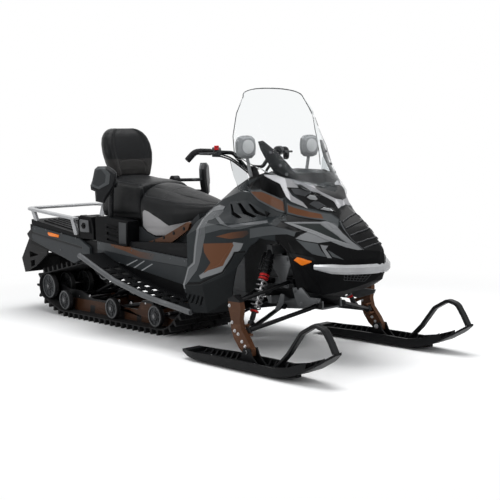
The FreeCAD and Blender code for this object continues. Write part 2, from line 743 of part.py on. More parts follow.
def make_grip():
    """One passenger grip: an arm from the seat's side, a hub, a hand bar and its wind guard."""
    arm = fused(rod(V(-540, 238, 660), V(-515, 248, 800), 16), rod(V(-515, 248, 800), GRIP_HUB, 16))
    hub = rod(GRIP_HUB + V(0, -24, 0), GRIP_HUB + V(0, 24, 0), 30)
    bar = rod(GRIP_HUB, GRIP_END, 11)
    stay = rod(V(-512, 252, 860), V(-366, 378, 852), 9)
    guard = lofted([guard_ring(-GUARD_DEPTH / 2, 1.0), guard_ring(GUARD_DEPTH * 0.2, 1.0),
                    guard_ring(GUARD_DEPTH / 2, GUARD_FACE_SHRINK)], True)
    return fused(arm, hub, bar, stay, guard)


grip = make_grip().cut(side_box).cut(rear_seat)
save("passenger_grips", both_sides(grip))


# Front body: one hollow shell, parted along the real panel lines.
# Each feature line runs from the tank to the nose tip as (x, y, z); the lines go from the ridge
# down the side to the keel.
RIDGE = ((330, 0, 768), (440, 0, 812), (540, 0, 862), (660, 0, 922), (800, 0, 985), (940, 0, 1008), (1055, 0, 985),
         (1110, 0, 958), (1205, 0, 900), (1264, 0, 858), (1296, 0, 815), (1345, 0, 788), (1400, 0, 752), (1467, 0, 697),
         (1525, 0, 636), (1545, 0, 606))
TOP_CREASE = ((330, 110, 760), (440, 150, 802), (540, 186, 850), (660, 205, 908), (800, 218, 965), (940, 226, 992),
              (1055, 194, 962), (1110, 142, 944), (1205, 90, 892), (1264, 42, 854), (1296, 16, 811), (1345, 38, 768),
              (1400, 46, 716), (1467, 40, 662), (1525, 20, 618), (1545, 9, 604))
HOOD_EDGE = ((330, 180, 735), (440, 250, 768), (540, 272, 800), (660, 288, 850), (800, 300, 888), (880, 285, 902),
             (940, 262, 892), (1070, 214, 858), (1115, 204, 846), (1176, 143, 806), (1275, 82, 778), (1327, 72, 749),
             (1378, 86, 697), (1427, 88, 648), (1482, 64, 598), (1545, 14, 592))
HOOD_FOOT = ((330, 212, 690), (440, 340, 712), (540, 338, 738), (660, 336, 764), (800, 336, 778), (880, 305, 772),
             (940, 285, 765), (989, 262, 757), (1102, 238, 778), (1208, 170, 752), (1279, 125, 741), (1335, 84, 715),
             (1378, 96, 684), (1427, 96, 636), (1482, 68, 592), (1545, 15, 585))
WING_EDGE = ((330, 214, 650), (440, 386, 645), (540, 388, 686), (660, 388, 712), (800, 384, 730), (940, 350, 722),
             (1055, 322, 730), (1110, 300, 716), (1167, 276, 700), (1215, 250, 682), (1270, 200, 672), (1337, 158, 656),
             (1407, 116, 630), (1482, 70, 588), (1545, 16, 578))
WING_FOOT = ((330, 214, 620), (440, 410, 500), (540, 412, 500), (660, 420, 520), (800, 400, 580), (940, 348, 652),
             (1100, 312, 650), (1208, 270, 648), (1306, 256, 582), (1348, 202, 560), (1405, 138, 552), (1482, 84, 556),
             (1530, 52, 560), (1545, 18, 566))
SIDE_FOOT = ((330, 214, 600), (440, 478, 400), (540, 478, 385), (660, 455, 392), (800, 405, 450), (940, 330, 560),
             (1055, 270, 590), (1127, 256, 578), (1240, 255, 546), (1306, 250, 535), (1348, 210, 515), (1410, 158, 500),
             (1470, 100, 490), (1530, 42, 495), (1545, 17, 530))
FLOOR_CORNER = ((330, 214, 590), (440, 480, 240), (540, 462, 236), (660, 425, 236), (800, 340, 330), (940, 250, 400),
                (1055, 225, 395), (1151, 222, 388), (1257, 150, 356), (1350, 105, 378), (1453, 60, 414), (1530, 24, 450),
                (1545, 10, 478))
KEEL = ((330, 0, 590), (440, 0, 240), (540, 0, 236), (660, 0, 230), (800, 0, 240), (940, 0, 262), (1100, 0, 279),
        (1197, 0, 300), (1291, 0, 350), (1400, 0, 385), (1501, 0, 432), (1530, 0, 446), (1545, 0, 474))
BODY_LINES = (RIDGE, TOP_CREASE, HOOD_EDGE, HOOD_FOOT, WING_EDGE, WING_FOOT, SIDE_FOOT, FLOOR_CORNER, KEEL)
BODY_X = (330, 440, 540, 660, 800, 880, 940, 1000, 1055, 1110, 1160, 1210, 1270, 1327, 1378, 1427, 1482, 1520, 1545)


def on_line(line, x):
    """Where a feature line crosses the station x, as (y, z)."""
    for (x0, y0, z0), (x1, y1, z1) in zip(line, line[1:]):
        if x0 <= x <= x1:
            share = (x - x0) / (x1 - x0)
            return y0 + share * (y1 - y0), z0 + share * (z1 - z0)
    return line[-1][1:]


BODY_STATIONS = [(x, [on_line(line, x) for line in BODY_LINES]) for x in BODY_X]


def whole_ring(x, half):
    right = [V(x, y, z) for y, z in half]
    left = [V(x, -y, z) for y, z in reversed(half[1:-1])]
    return right + left


def inset_half(half, depth):
    """The same half section moved inwards by depth."""
    points = [(-half[1][0], half[1][1])] + list(half) + [(-half[-2][0], half[-2][1])]
    moved = []
    for before, here, after in zip(points, points[1:], points[2:]):
        a = V(here[0] - before[0], here[1] - before[1], 0).normalize()
        b = V(after[0] - here[0], after[1] - here[1], 0).normalize()
        inward_a, inward_b = V(a.y, -a.x, 0), V(b.y, -b.x, 0)
        way = inward_a + inward_b
        way = way * (depth / max(0.6, way.dot(inward_a)))
        moved.append((max(0.0, here[0] + way.x), here[1] + way.y))
    return moved


def body_solid(depth=0.0):
    rings = []
    for x, half in BODY_STATIONS:
        if depth:
            half = inset_half(half, depth)
        rings.append(whole_ring(x, half))
    if depth:
        rings[0] = [p + V(-20, 0, 0) for p in rings[0]]
        rings[-1] = [p + V(-depth, 0, 0) for p in rings[-1]]
    return faceted(rings)


BODY_REACH = 620.0


def side_region(outline, y_from=-BODY_REACH, y_to=BODY_REACH):
    return plate(outline, y_from, y_to)


def outer_regions(outline, inner_half):
    piece = plate(outline, inner_half, BODY_REACH)
    return Part.Compound([piece, mirrored(piece)])


body_outer = body_solid()
shell = body_outer.cut(body_solid(WALL_PLASTIC))

PANEL_REAR_EDGE = ((562, 815), (490, 742), (446, 650), (483, 481), (505, 416), (523, 372), (573, 200))
behind_panels = outer_regions([(300, 1100), (300, 200)] + list(reversed(PANEL_REAR_EDGE)) + [(562, 1100)], 216.0)
WHEEL_ARCH = ((690, 190), (774, 313), (857, 499), (930, 609), (1000, 655), (1100, 640), (1127, 585), (1151, 389), (1165, 190))
arch_room = outer_regions(list(WHEEL_ARCH), 185.0)
tunnel_room = Part.Compound([block((200, -TUNNEL_HALF, 150), (486, TUNNEL_HALF, 540)),
                             side_region(list(TUNNEL_TOP) + [(TUNNEL_FRONT_X, 200), (TUNNEL_REAR_X, 200)],
                                         -TUNNEL_HALF, TUNNEL_HALF)])
shell = shell.cut(behind_panels).cut(arch_room).cut(tunnel_room).cut(both_sides(board)).cut(both_sides(side_rail))

CONSOLE_EDGE = ((320, 745), (440, 792), (540, 838), (660, 896), (800, 950), (905, 974), (940, 1100), (320, 1100))
console_region = side_region(list(CONSOLE_EDGE))
LAMP_EDGE = ((1075, 914), (1136, 912), (1211, 880), (1264, 846), (1298, 808), (1322, 752), (1275, 779), (1176, 806),
             (1147, 841))
TRIM_EDGE = ((930, 982), (1000, 978), (1066, 958), (1110, 946), (1155, 924), (1205, 896), (1264, 862), (1304, 818),
             (1300, 800), (1262, 840), (1211, 876), (1136, 908), (1075, 914), (1105, 872), (1147, 838), (1178, 803),
             (1110, 842), (1080, 866), (1034, 931), (940, 974))
TRIM_RISE = 3.0
WINDOW_EDGE = ((862, 932), (905, 968), (938, 972), (1032, 929), (1079, 866), (1050, 856))
window_region = outer_regions(list(WINDOW_EDGE), 150.0)
VENT_SLOTS = (((742, 826), (762, 826), (800, 784), (862, 758), (846, 752), (782, 772)),
              ((806, 832), (826, 832), (868, 790), (934, 762), (918, 756), (850, 776)),
              ((872, 830), (890, 828), (930, 794), (984, 770), (972, 762), (914, 780)))
vent_cuts = Part.Compound([outer_regions(list(edge), 240.0) for edge in VENT_SLOTS])
FOOTWELL_SLOTS, FOOTWELL_STEP = 5, 27.0
footwell_cuts = Part.Compound([
    outer_regions([(506 + FOOTWELL_STEP * k, 296 - 5 * k), (520 + FOOTWELL_STEP * k, 298 - 5 * k),
                   (548 + FOOTWELL_STEP * k, 340 - 3 * k), (534 + FOOTWELL_STEP * k, 342 - 3 * k)], 400.0)
    for k in range(FOOTWELL_SLOTS)])
lamp_region = side_region(list(LAMP_EDGE), -232.0, 232.0)
grille_half = [(x, y) for x, y, z in HOOD_EDGE if x > 1300]
grille_region = slab([(1306, 70)] + grille_half + [(x, -y) for x, y in reversed(grille_half)] + [(1306, -70)], 586, 830)
HOOD_LOW_EDGE = ((300, 700), (480, 778), (683, 790), (805, 796), (940, 772), (989, 757), (1102, 778), (1208, 752),
                 (1279, 741), (1335, 715), (1378, 684), (1427, 636), (1482, 592), (1560, 585))
hood_region = side_region(list(HOOD_LOW_EDGE) + [(1560, 1200), (300, 1200)])
VENT_EDGE = ((683, 765), (738, 838), (866, 848), (1000, 778), (970, 752), (805, 716))
vent_region = outer_regions(list(VENT_EDGE), 250.0)
PAN_TOP_EDGE = ((1110, 560), (1325, 548), (1560, 556))
pan_region = side_region(list(PAN_TOP_EDGE) + [(1560, 150), (1110, 150)])
belly_region = side_region([(480, 270), (690, 262), (1110, 560), (1110, 150), (480, 150)], -230.0, 230.0)

COLUMN_UP = (COLUMN_TOP - COLUMN_FOOT).normalize()
REARWARD = ACROSS.cross(COLUMN_UP) * -1.0
PITMAN_LENGTH, PITMAN_HALF = 75.0, 30.0
PITMAN_PIN = COLUMN_FOOT + REARWARD * PITMAN_LENGTH + V(0, PITMAN_HALF, 0)
KING = (KING_UP - KING_LOW).normalize()
KING_SIDE = ACROSS.cross(KING).normalize() * -1.0
STEER_ARM_LENGTH = 85.0
KING_MIDDLE = KING_LOW + (KING_UP - KING_LOW) * 0.5
STEER_EYE = KING_MIDDLE + KING_SIDE * STEER_ARM_LENGTH
TIE_ROD_SWING = 36.0
TIE_EYE_RISE = 26.0
column_room = rod(COLUMN_FOOT - COLUMN_UP * 10, COLUMN_TOP + COLUMN_UP * 60, COLUMN_RADIUS + MOVING_GAP + 4)
tie_rod_room = both_sides(rod(PITMAN_PIN + COLUMN_UP * TIE_EYE_RISE, STEER_EYE + KING * TIE_EYE_RISE, TIE_ROD_SWING))
pitman_room = rod(COLUMN_FOOT - COLUMN_UP * 10, COLUMN_FOOT + COLUMN_UP * (TIE_EYE_RISE + 25), PITMAN_LENGTH + 60)

console = shell.common(console_region).cut(column_room)
body_left = shell.cut(console_region).cut(column_room)
windows = body_left.common(window_region)
body_left = body_left.cut(window_region)
headlights = body_left.common(lamp_region)
body_left = body_left.cut(lamp_region)
grille = body_left.common(grille_region)
body_left = body_left.cut(grille_region)
vents = body_left.common(vent_region).cut(vent_cuts)
body_left = body_left.cut(vent_region)
hood = body_left.common(hood_region)
body_left = body_left.cut(hood_region)
front_pan = body_left.common(pan_region)
body_left = body_left.cut(pan_region)
belly = body_left.common(belly_region).cut(tie_rod_room)
body_left = body_left.cut(belly_region)
NOSE_EDGE = ((1100, 790), (1130, 735), (1225, 668), (1200, 640), (1290, 540), (1560, 540), (1560, 800))
nose_region = side_region(list(NOSE_EDGE))
nose = body_left.common(nose_region)
side_panels = body_left.cut(nose_region).cut(footwell_cuts)


trim_skin = body_solid(-TRIM_RISE).cut(body_outer)
nose_trim = trim_skin.common(side_region(list(TRIM_EDGE)))
for name, shape in (("console", console), ("side_windows", windows), ("headlights", headlights), ("nose_grille", grille), ("nose_trim", nose_trim),
                    ("side_vents", vents), ("hood", hood), ("front_pan", front_pan),
                    ("belly_pan", belly), ("nose_cone", nose), ("side_panels", side_panels)):
    kept = main_solids(shape)
    print(name, [round(s.Volume / 1000) for s in shape.Solids], "kept", len(kept.Solids))
    save(name, kept)

# Windshield and what stands beside it
WINDSHIELD_SHEET = 4.0
WINDSHIELD_ROWS = (
    # centre x, edge x, edge half width, centre z, edge z
    (757, 775, 224, 1449, 1401),
    (792, 786, 284, 1390, 1310),
    (878, 785, 312, 1270, 1190),
    (968, 800, 318, 1140, 1093),
    (1055, 856, 266, 1030, 1045),
    (1145, 910, 216, 945, 1003),
    (1242, 1062, 158, 852, 945),
)
# The frame behind the sheet's foot: rows of the sheet with the shares of its half width where each
# horn begins and ends
HORN_ROWS = ((2.75, -0.54, -0.47), (3.1, -0.56, -0.4), (3.6, -0.61, -0.36), (4.25, -0.68, -0.36), (4.9, -0.76, -0.4))
FRAME_BASE_ROWS = (4.55, 5.0, 5.45, 5.8)
FRAME_THICKNESS, FRAME_SETBACK = 5.0, 5.0


def on_windshield(row, share):
    """A point of the sheet's outer face at a row number, which may lie between rows, and a share of the half width."""
    first = min(int(row), len(WINDSHIELD_ROWS) - 2)
    part = row - first
    above, below = WINDSHIELD_ROWS[first], WINDSHIELD_ROWS[first + 1]
    centre_x, edge_x, half, centre_z, edge_z = [a + part * (b - a) for a, b in zip(above, below)]
    bend = abs(share) ** 2.2
    return V(centre_x + (edge_x - centre_x) * bend, half * math.sin(share * math.pi / 2),
             centre_z + (edge_z - centre_z) * bend)


def make_windshield():
    grid = [[on_windshield(row, k / 5) for k in range(-5, 6)] for row in range(len(WINDSHIELD_ROWS))]
    return main_solids(sheet(grid, -WINDSHIELD_SHEET).cut(body_outer).cut(nose_trim))


def make_windshield_frame():
    """A moulded frame that carries the sheet from behind: a band across its foot and a horn up each side."""
    back = V(-FRAME_SETBACK - WINDSHIELD_SHEET, 0, -FRAME_SETBACK)
    horn = sheet([[on_windshield(row, left + (right - left) * k / 2) + back for k in range(3)]
                  for row, left, right in HORN_ROWS], -FRAME_THICKNESS)
    band = sheet([[on_windshield(row, k / 5 * 0.8) + back for k in range(-5, 6)] for row in FRAME_BASE_ROWS],
                 -FRAME_THICKNESS)
    return main_solids(fused(band, horn, mirrored(horn)).cut(body_outer).cut(nose_trim).cut(windshield))


windshield = make_windshield()
save("windshield", windshield)
save("windshield_frame", make_windshield_frame())


MIRROR_CENTRE = V(806, 238, 1128)
MIRROR_HALF_WIDTH, MIRROR_HALF_HEIGHT = 66.0, 62.0


def mirror_ring(shift, shrink):
    """A rounded square, squarer than an ellipse, across the machine."""
    points = []
    for degrees in range(0, 360, 24):
        c, s = math.cos(math.radians(degrees)), math.sin(math.radians(degrees))
        square = 1.0 / (abs(c) ** 3.2 + abs(s) ** 3.2) ** (1 / 3.2)
        points.append(MIRROR_CENTRE + V(shift, MIRROR_HALF_WIDTH * c * square * shrink,
                                        MIRROR_HALF_HEIGHT * s * square * shrink))
    return points


def make_mirror():
    """A rounded housing, open face to the rear, on a stalk from the body."""
    housing = lofted([mirror_ring(-16, 1.0), mirror_ring(0, 1.0), mirror_ring(14, 0.72)], True)
    stalk = rod(V(800, 232, 1078), V(800, 205, 960), 9)
    return fused(housing, stalk).cut(body_outer)


save("mirrors", both_sides(make_mirror()))


def make_deflector():
    grid = [[V(796, 346, 1062), V(834, 342, 1070), V(866, 328, 1062)],
            [V(800, 330, 985), V(846, 326, 985), V(890, 310, 985)],
            [V(812, 302, 900), V(856, 300, 896), V(905, 298, 890)]]
    return main_solids(sheet(grid, WINDSHIELD_SHEET).cut(body_outer).cut(windshield), 500.0)


save("wind_deflectors", both_sides(make_deflector()))

# Bumper, reflectors
BUMPER_HALF_THICK = 17.0


def make_bumper():
    """A wrap-round bar, deeper at its front corners."""
    right = [(1318, -256, 518), (1392, -206, 508), (1446, -160, 504), (1492, -108, 504), (1530, -55, 505), (1545, 0, 506)]
    path = right + [(x, -y, z) for x, y, z in reversed(right[:-1])]
    sections = []
    for i, (x, y, z) in enumerate(path):
        before, after = path[max(0, i - 1)], path[min(len(path) - 1, i + 1)]
        run = V(after[0] - before[0], after[1] - before[1], 0).normalize()
        out = V(run.y, -run.x, 0)
        tall = 12 if i in (0, len(path) - 1) else 24
        point = V(x, y, z)
        sections.append([point + V(0, 0, tall), point + out * 10 + V(0, 0, tall * 0.4), point + out * 10 - V(0, 0, tall * 0.5),
                         point - V(0, 0, tall), point - out * 14 - V(0, 0, tall * 0.6), point - out * 14 + V(0, 0, tall * 0.7)])
    return lofted(sections, True)


bumper = make_bumper()
bumper_mounts = [block((1400, s * 120 - 10, 500), (1480, s * 120 + 10, 520)) for s in (-1, 1)]
bumper = fused(bumper, *bumper_mounts).cut(body_outer)
bumper = main_solids(bumper, 20000)
save("front_bumper", bumper)

# Engine mass and the front frame
ENGINE_LOW, ENGINE_HIGH = (520, -196, 290), (715, 196, 640)
LOW_PIVOTS = (V(1166, 90, 285), V(895, 90, 258))
HIGH_PIVOTS = (V(1049, 160, 416), V(882, 160, 406))
SHOCK_TOP = V(947, 200, 590)
SHOCK_FOOT = V(985, 395, 215)
PIVOT_RADIUS = 15.0


def make_front_frame():
    cheek = plate([(868, 242), (1190, 268), (1190, 310), (1110, 330), (1075, 440), (1040, 560), (975, 600), (925, 600),
                   (925, 300), (868, 280)], 64, 74)
    bulkhead = block((486, -TUNNEL_HALF, 250), (492, TUNNEL_HALF, 560))
    beam = block((492, 196, 292), (925, 208, 330))
    tie = block((925, 74, 292), (940, 208, 330))
    tower = plate([(925, 560), (975, 560), (968, 606), (930, 606)], 74, 222)
    shelf = plate([(864, 388), (1066, 400), (1066, 432), (864, 424)], 74, 145)
    half = fused(cheek, beam, tie, tower, shelf)
    floor = block((925, -64, 262), (1180, 64, 272))
    roof = block((975, -64, 560), (1035, 64, 570))
    frame = fused(half, mirrored(half), bulkhead, floor, roof)
    return frame.cut(column_room).cut(tie_rod_room).cut(pitman_room)


front_frame = make_front_frame()


def make_arms():
    """The lower and upper arms of the left side."""
    king = (KING_UP - KING_LOW).normalize()
    eye_half, eye_radius = KING_EYE_HALF, 18.0
    bore = rod(KING_LOW - king * 60, KING_UP + king * 60, KING_PIN_RADIUS + EYE_PLAY)
    along = V(24, 0, 0)
    lower = [rod(p, KING_LOW, 11.5) for p in LOW_PIVOTS] + [rod(p - along, p + along, PIVOT_RADIUS) for p in LOW_PIVOTS]
    upper = [rod(p, KING_UP, 10) for p in HIGH_PIVOTS] + [rod(p - along, p + along, PIVOT_RADIUS) for p in HIGH_PIVOTS]
    lower_arm = fused(rod(KING_LOW - king * eye_half, KING_LOW + king * eye_half, eye_radius), *lower).cut(bore)
    upper_arm = fused(rod(KING_UP - king * eye_half, KING_UP + king * eye_half, eye_radius), *upper).cut(bore)
    return lower_arm, upper_arm


lower_arm, upper_arm = make_arms()
arms = Part.Compound([lower_arm, upper_arm, mirrored(lower_arm), mirrored(upper_arm)])
front_frame = front_frame.cut(arms)


def spring_stack(start, end, outer, inner, turns):
    """A coil spring as a turned solid: one ridge for each coil."""
    pitch = (end - start).Length / turns
    profile = [V(0, 0, 0)]
    for k in range(turns):
        profile += [V(inner, 0, pitch * k), V(outer, 0, pitch * (k + 0.25)), V(outer, 0, pitch * (k + 0.6)),
                    V(inner, 0, pitch * (k + 0.85))]
    profile += [V(inner, 0, pitch * turns), V(0, 0, pitch * turns)]
    solid = polygon_face(profile).revolve(V(0, 0, 0), UP, 360)
    solid.Placement = FreeCAD.Placement(start, FreeCAD.Rotation(UP, end - start))
    return solid


def make_front_shock():
    """A damper with its coil spring round the upper half."""
    down = SHOCK_FOOT - SHOCK_TOP
    along = V(16, 0, 0)
    spring = spring_stack(SHOCK_TOP + down * 0.11, SHOCK_TOP + down * 0.45, 31, 24, 7)
    body = rod(SHOCK_TOP, SHOCK_TOP + down * 0.6, 18)
    eyes = [rod(SHOCK_TOP - along, SHOCK_TOP + along, 15), rod(SHOCK_FOOT - along, SHOCK_FOOT + along, 14)]
    return fused(spring, body, rod(SHOCK_TOP + down * 0.6, SHOCK_FOOT, 8), *eyes)


front_shock = make_front_shock().cut(arms).cut(front_frame)
save("front_arms", arms)
save("front_frame", front_frame.cut(shell))
save("front_shocks", both_sides(front_shock))
save("engine", block(ENGINE_LOW, ENGINE_HIGH))

# Steering: column, bar, grips and controls
BAR_RADIUS, GRIP_RADIUS = 11.0, 17.0


def make_column():
    post = rod(COLUMN_FOOT, COLUMN_TOP, COLUMN_RADIUS)
    corners = [COLUMN_FOOT + V(0, -26, 0), COLUMN_FOOT + V(0, 26, 0), PITMAN_PIN + V(0, 14, 0) + REARWARD * 12,
               flipped(PITMAN_PIN) + V(0, -14, 0) + REARWARD * 12]
    pitman = polygon_face(corners).extrude(COLUMN_UP * 10)
    pins = [rod(p, p + COLUMN_UP * (TIE_EYE_RISE + 11), 6) for p in (PITMAN_PIN, flipped(PITMAN_PIN))]
    riser = rod(COLUMN_TOP - COLUMN_UP * 10, COLUMN_TOP + COLUMN_UP * 50, 30)
    return fused(post, pitman, riser, *pins)


def bar_points(side):
    return [V(462, side * 374, 1066), V(496, side * 345, 1112), V(587, side * 150, 1100), V(594, side * 60, 1012)]


def make_bar():
    points = bar_points(1) + list(reversed(bar_points(-1)))
    return bent_tube(points, BAR_RADIUS, 45.0)


bar = make_bar()
column = make_column().cut(bar)
save("steering_column", main_solids(column))
save("handlebar", bar)


def make_grip_sleeve(side):
    points = bar_points(side)
    inner_end = points[1] + (points[2] - points[1]) * 0.42
    sleeve = bent_tube([points[0] + (points[0] - points[1]).normalize() * 4, points[1], inner_end], GRIP_RADIUS, 45.0)
    return sleeve.cut(bar)


save("bar_grips", Part.Compound([make_grip_sleeve(1), make_grip_sleeve(-1)]))


def make_controls(side):
    points = bar_points(side)
    along = (points[2] - points[1]).normalize()
    start = points[1] + (points[2] - points[1]) * 0.46
    pod = rod(start, start + along * 42, 27)
    lever = fused(rod(start + V(34, 0, -8), start + V(44, 0, -14) - along * 105, 6), rod(start, start + V(34, 0, -8), 8))
    return fused(pod, lever).cut(bar).cut(make_grip_sleeve(side))


save("bar_controls", Part.Compound([make_controls(1), make_controls(-1)]))

# Ski legs, tie rods and skis
LEG_IN, LEG_OUT = 478.0, 508.0


def king_lug(centre, thickness):
    """A lug that reaches from the leg to the king pin, its faces square to the pin."""
    half = 17.0
    disc = Part.makeCylinder(half, thickness, centre, KING)
    out = V(0, LEG_IN + 6 - centre.y, 0)
    reach = [centre - KING_SIDE * half, centre + KING_SIDE * half, centre + KING_SIDE * half + out,
             centre - KING_SIDE * half + out]
    return disc.fuse(polygon_face(reach).extrude(KING * thickness))


def make_leg():
    outline = [(938, 354), (984, 368), (1028, 348), (1038, 312), (1026, 250), (1036, 204), (1086, 148), (1112, 108),
               (1112, 74), (1088, 62), (1062, 70), (1014, 104), (976, 150), (956, 200), (956, 250), (940, 300)]
    blade = plate(outline, LEG_IN, LEG_OUT)
    lugs = []
    for eye in (KING_UP, KING_LOW):
        reach = KING_LUG_NEAR + KING_LUG_THICK
        lugs.append(king_lug(eye + KING * KING_LUG_NEAR, KING_LUG_THICK))
        lugs.append(king_lug(eye - KING * reach, KING_LUG_THICK))
        lugs.append(rod(eye - KING * reach, eye + KING * reach, KING_PIN_RADIUS))
    arm = fused(rod(V(KING_MIDDLE.x, LEG_IN + 8, KING_MIDDLE.z), STEER_EYE, 11), rod(STEER_EYE - KING * 12, STEER_EYE + KING * 12, 15))
    leg = fused(blade, arm, *lugs)
    bore = rod(V(SPINDLE.x, LEG_IN - 5, SPINDLE.z), V(SPINDLE.x, LEG_OUT + 5, SPINDLE.z), SPINDLE_RADIUS + PIN_PLAY)
    return leg.cut(bore)


leg = make_leg()
save("leg_left", leg)
save("leg_right", mirrored(leg))


def make_tie_rod():
    inner = PITMAN_PIN + COLUMN_UP * TIE_EYE_RISE
    outer = STEER_EYE + KING * TIE_EYE_RISE
    eye_in = rod(inner - COLUMN_UP * 6, inner + COLUMN_UP * 6, 14).cut(rod(inner - COLUMN_UP * 20, inner + COLUMN_UP * 20, 6 + EYE_PLAY))
    way = (outer - inner).normalize()
    shank = rod(inner + way * 10, outer, 7)
    eye_out = rod(outer - KING * 6, outer + KING * 6, 14)
    return fused(eye_in, shank.cut(rod(inner - COLUMN_UP * 20, inner + COLUMN_UP * 20, 6 + EYE_PLAY)), eye_out)


tie_rod = make_tie_rod()
save("tie_rod_left", tie_rod)
save("tie_rod_right", mirrored(tie_rod))

SKI_BOTTOM = ((600, 42), (650, 22), (720, SKI_KEEL), (1340, SKI_KEEL), (1440, 26), (1540, 62), (1640, 112), (1716, 160))
SKI_RIM = ((1716, 178), (1640, 150), (1540, 106), (1440, 74), (1340, 58), (1180, 60), (900, 58), (720, 52), (600, 54))


def make_ski():
    wide = plate(list(SKI_BOTTOM) + list(SKI_RIM), SKI_Y - SKI_HALF, SKI_Y + SKI_HALF)
    pocket = plate(raised(SKI_BOTTOM[1:], SKI_PLATE) + [(1716, 230), (650, 150)], SKI_Y - SKI_HALF + 12, SKI_Y + SKI_HALF - 12)
    plan = [(600, SKI_Y - 58), (700, SKI_Y - 74), (900, SKI_Y - SKI_HALF), (1400, SKI_Y - SKI_HALF), (1560, SKI_Y - 66),
            (1660, SKI_Y - 46), (1716, SKI_Y - 18)]
    plan += [(x, 2 * SKI_Y - y) for x, y in reversed(plan)]
    tray = wide.cut(pocket).common(slab(plan, -10, 260))
    keel = plate([(680, SKI_KEEL + 2), (720, 0), (1340, 0), (1450, 16), (1450, 30), (1340, SKI_KEEL + 2)], SKI_Y - 14, SKI_Y + 14)
    rib_outline = [(990, SKI_KEEL + 8), (1050, 70), (1064, 110), (1110, 114), (1128, 76), (1190, SKI_KEEL + 8)]
    ribs = [plate(rib_outline, LEG_IN - 15, LEG_IN - 6), plate(rib_outline, LEG_OUT + 6, LEG_OUT + 15)]
    bolt = rod(V(SPINDLE.x, LEG_IN - 22, SPINDLE.z), V(SPINDLE.x, LEG_OUT + 22, SPINDLE.z), SPINDLE_RADIUS)
    stop = block((1040, LEG_IN - 6, SKI_KEEL + 8), (1140, LEG_OUT + 6, SKI_KEEL + 14))
    return fused(tray, keel, bolt, stop, *ribs)


ski = make_ski()
save("ski_left", ski)
save("ski_right", mirrored(ski))


def make_ski_loop():
    points = [V(1300, SKI_Y, 44), V(1390, SKI_Y, 128), V(1480, SKI_Y, 236), V(1570, SKI_Y, 284), V(1630, SKI_Y, 270),
              V(1668, SKI_Y, 215), V(1700, SKI_Y, 158)]
    loop = flat_bar(points, 32.0, 12.0, 50.0, ACROSS)
    return main_solids(loop.cut(ski), 20000)


loop = make_ski_loop()
save("ski_loop_left", loop)
save("ski_loop_right", mirrored(loop))

print("steer pins", [round(v) for v in PITMAN_PIN], "leg eye", [round(v) for v in STEER_EYE])
whole = Part.Compound(list(built.values()))
box = whole.BoundBox
print("overall", [round(v, 1) for v in (box.XMin, box.XMax, box.YMin, box.YMax, box.ZMin, box.ZMax)], "nodes", len(built))
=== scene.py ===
import math

import bmesh
import bpy
from mathutils import Matrix, Vector
from mathutils.bvhtree import BVHTree
from mathutils.geometry import tessellate_polygon
from mathutils.kdtree import KDTree


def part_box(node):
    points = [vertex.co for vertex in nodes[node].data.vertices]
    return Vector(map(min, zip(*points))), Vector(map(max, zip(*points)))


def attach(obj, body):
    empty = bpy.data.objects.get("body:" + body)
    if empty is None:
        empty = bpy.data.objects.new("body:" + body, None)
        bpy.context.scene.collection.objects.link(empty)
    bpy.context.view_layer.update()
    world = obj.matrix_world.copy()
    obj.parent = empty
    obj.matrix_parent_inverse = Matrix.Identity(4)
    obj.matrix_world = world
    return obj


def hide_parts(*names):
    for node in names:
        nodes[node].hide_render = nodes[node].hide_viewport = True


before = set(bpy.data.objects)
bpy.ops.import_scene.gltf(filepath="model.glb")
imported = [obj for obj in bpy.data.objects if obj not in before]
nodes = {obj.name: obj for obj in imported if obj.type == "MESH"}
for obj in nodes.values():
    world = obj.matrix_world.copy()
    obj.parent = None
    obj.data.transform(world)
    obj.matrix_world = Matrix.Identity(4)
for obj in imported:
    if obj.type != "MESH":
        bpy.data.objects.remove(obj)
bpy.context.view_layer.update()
view_layer = bpy.context.view_layer

# The studio: the camera stands low at the machine's right front, as in the photograph.
# The floor is matt and pale, keeps the machine's shadow, and turns into the plain white backdrop far out.
camera_place = (4.8736, -3.7688, 1.1054)
view_right = Vector((0.65773969, 0.75276999, -0.02675522))
view_up = Vector((-0.0564472, 0.08467908, 0.99480811))
view_back = Vector((0.7511273, -0.65281451, 0.09818855))
camera = bpy.data.objects.new("camera", bpy.data.cameras.new("camera"))
camera.data.lens = 72.01
camera.data.sensor_width = 36.0
camera.data.clip_end = 60.0
turn = Matrix((view_right, view_up, view_back)).transposed()
camera.matrix_world = Matrix.Translation(camera_place) @ turn.to_4x4()
bpy.context.scene.collection.objects.link(camera)
bpy.context.scene.camera = camera
bpy.context.scene.view_settings.view_transform = "Standard"


def add_node(tree, kind, inputs=None, **settings):
    """A node with its settings and its inputs, each a plain value or another node's output to link."""
    node = tree.nodes.new(kind)
    for key, value in settings.items():
        setattr(node, key, value)
    for key, value in (inputs or {}).items():
        if isinstance(value, bpy.types.NodeSocket):
            tree.links.new(value, node.inputs[key])
        else:
            node.inputs[key].default_value = value
    return node


def combine(tree, operation, first, second):
    """One number made from two."""
    return add_node(tree, "ShaderNodeMath", {0: first, 1: second}, operation=operation).outputs[0]


def seen_directly(tree):
    """1 for rays from the camera, and through or off glass and metal; 0 for light on the object."""
    rays = add_node(tree, "ShaderNodeLightPath").outputs
    mirrored = combine(tree, "MAXIMUM", rays["Is Camera Ray"], rays["Is Glossy Ray"])
    return combine(tree, "MAXIMUM", mirrored, rays["Is Transmission Ray"])


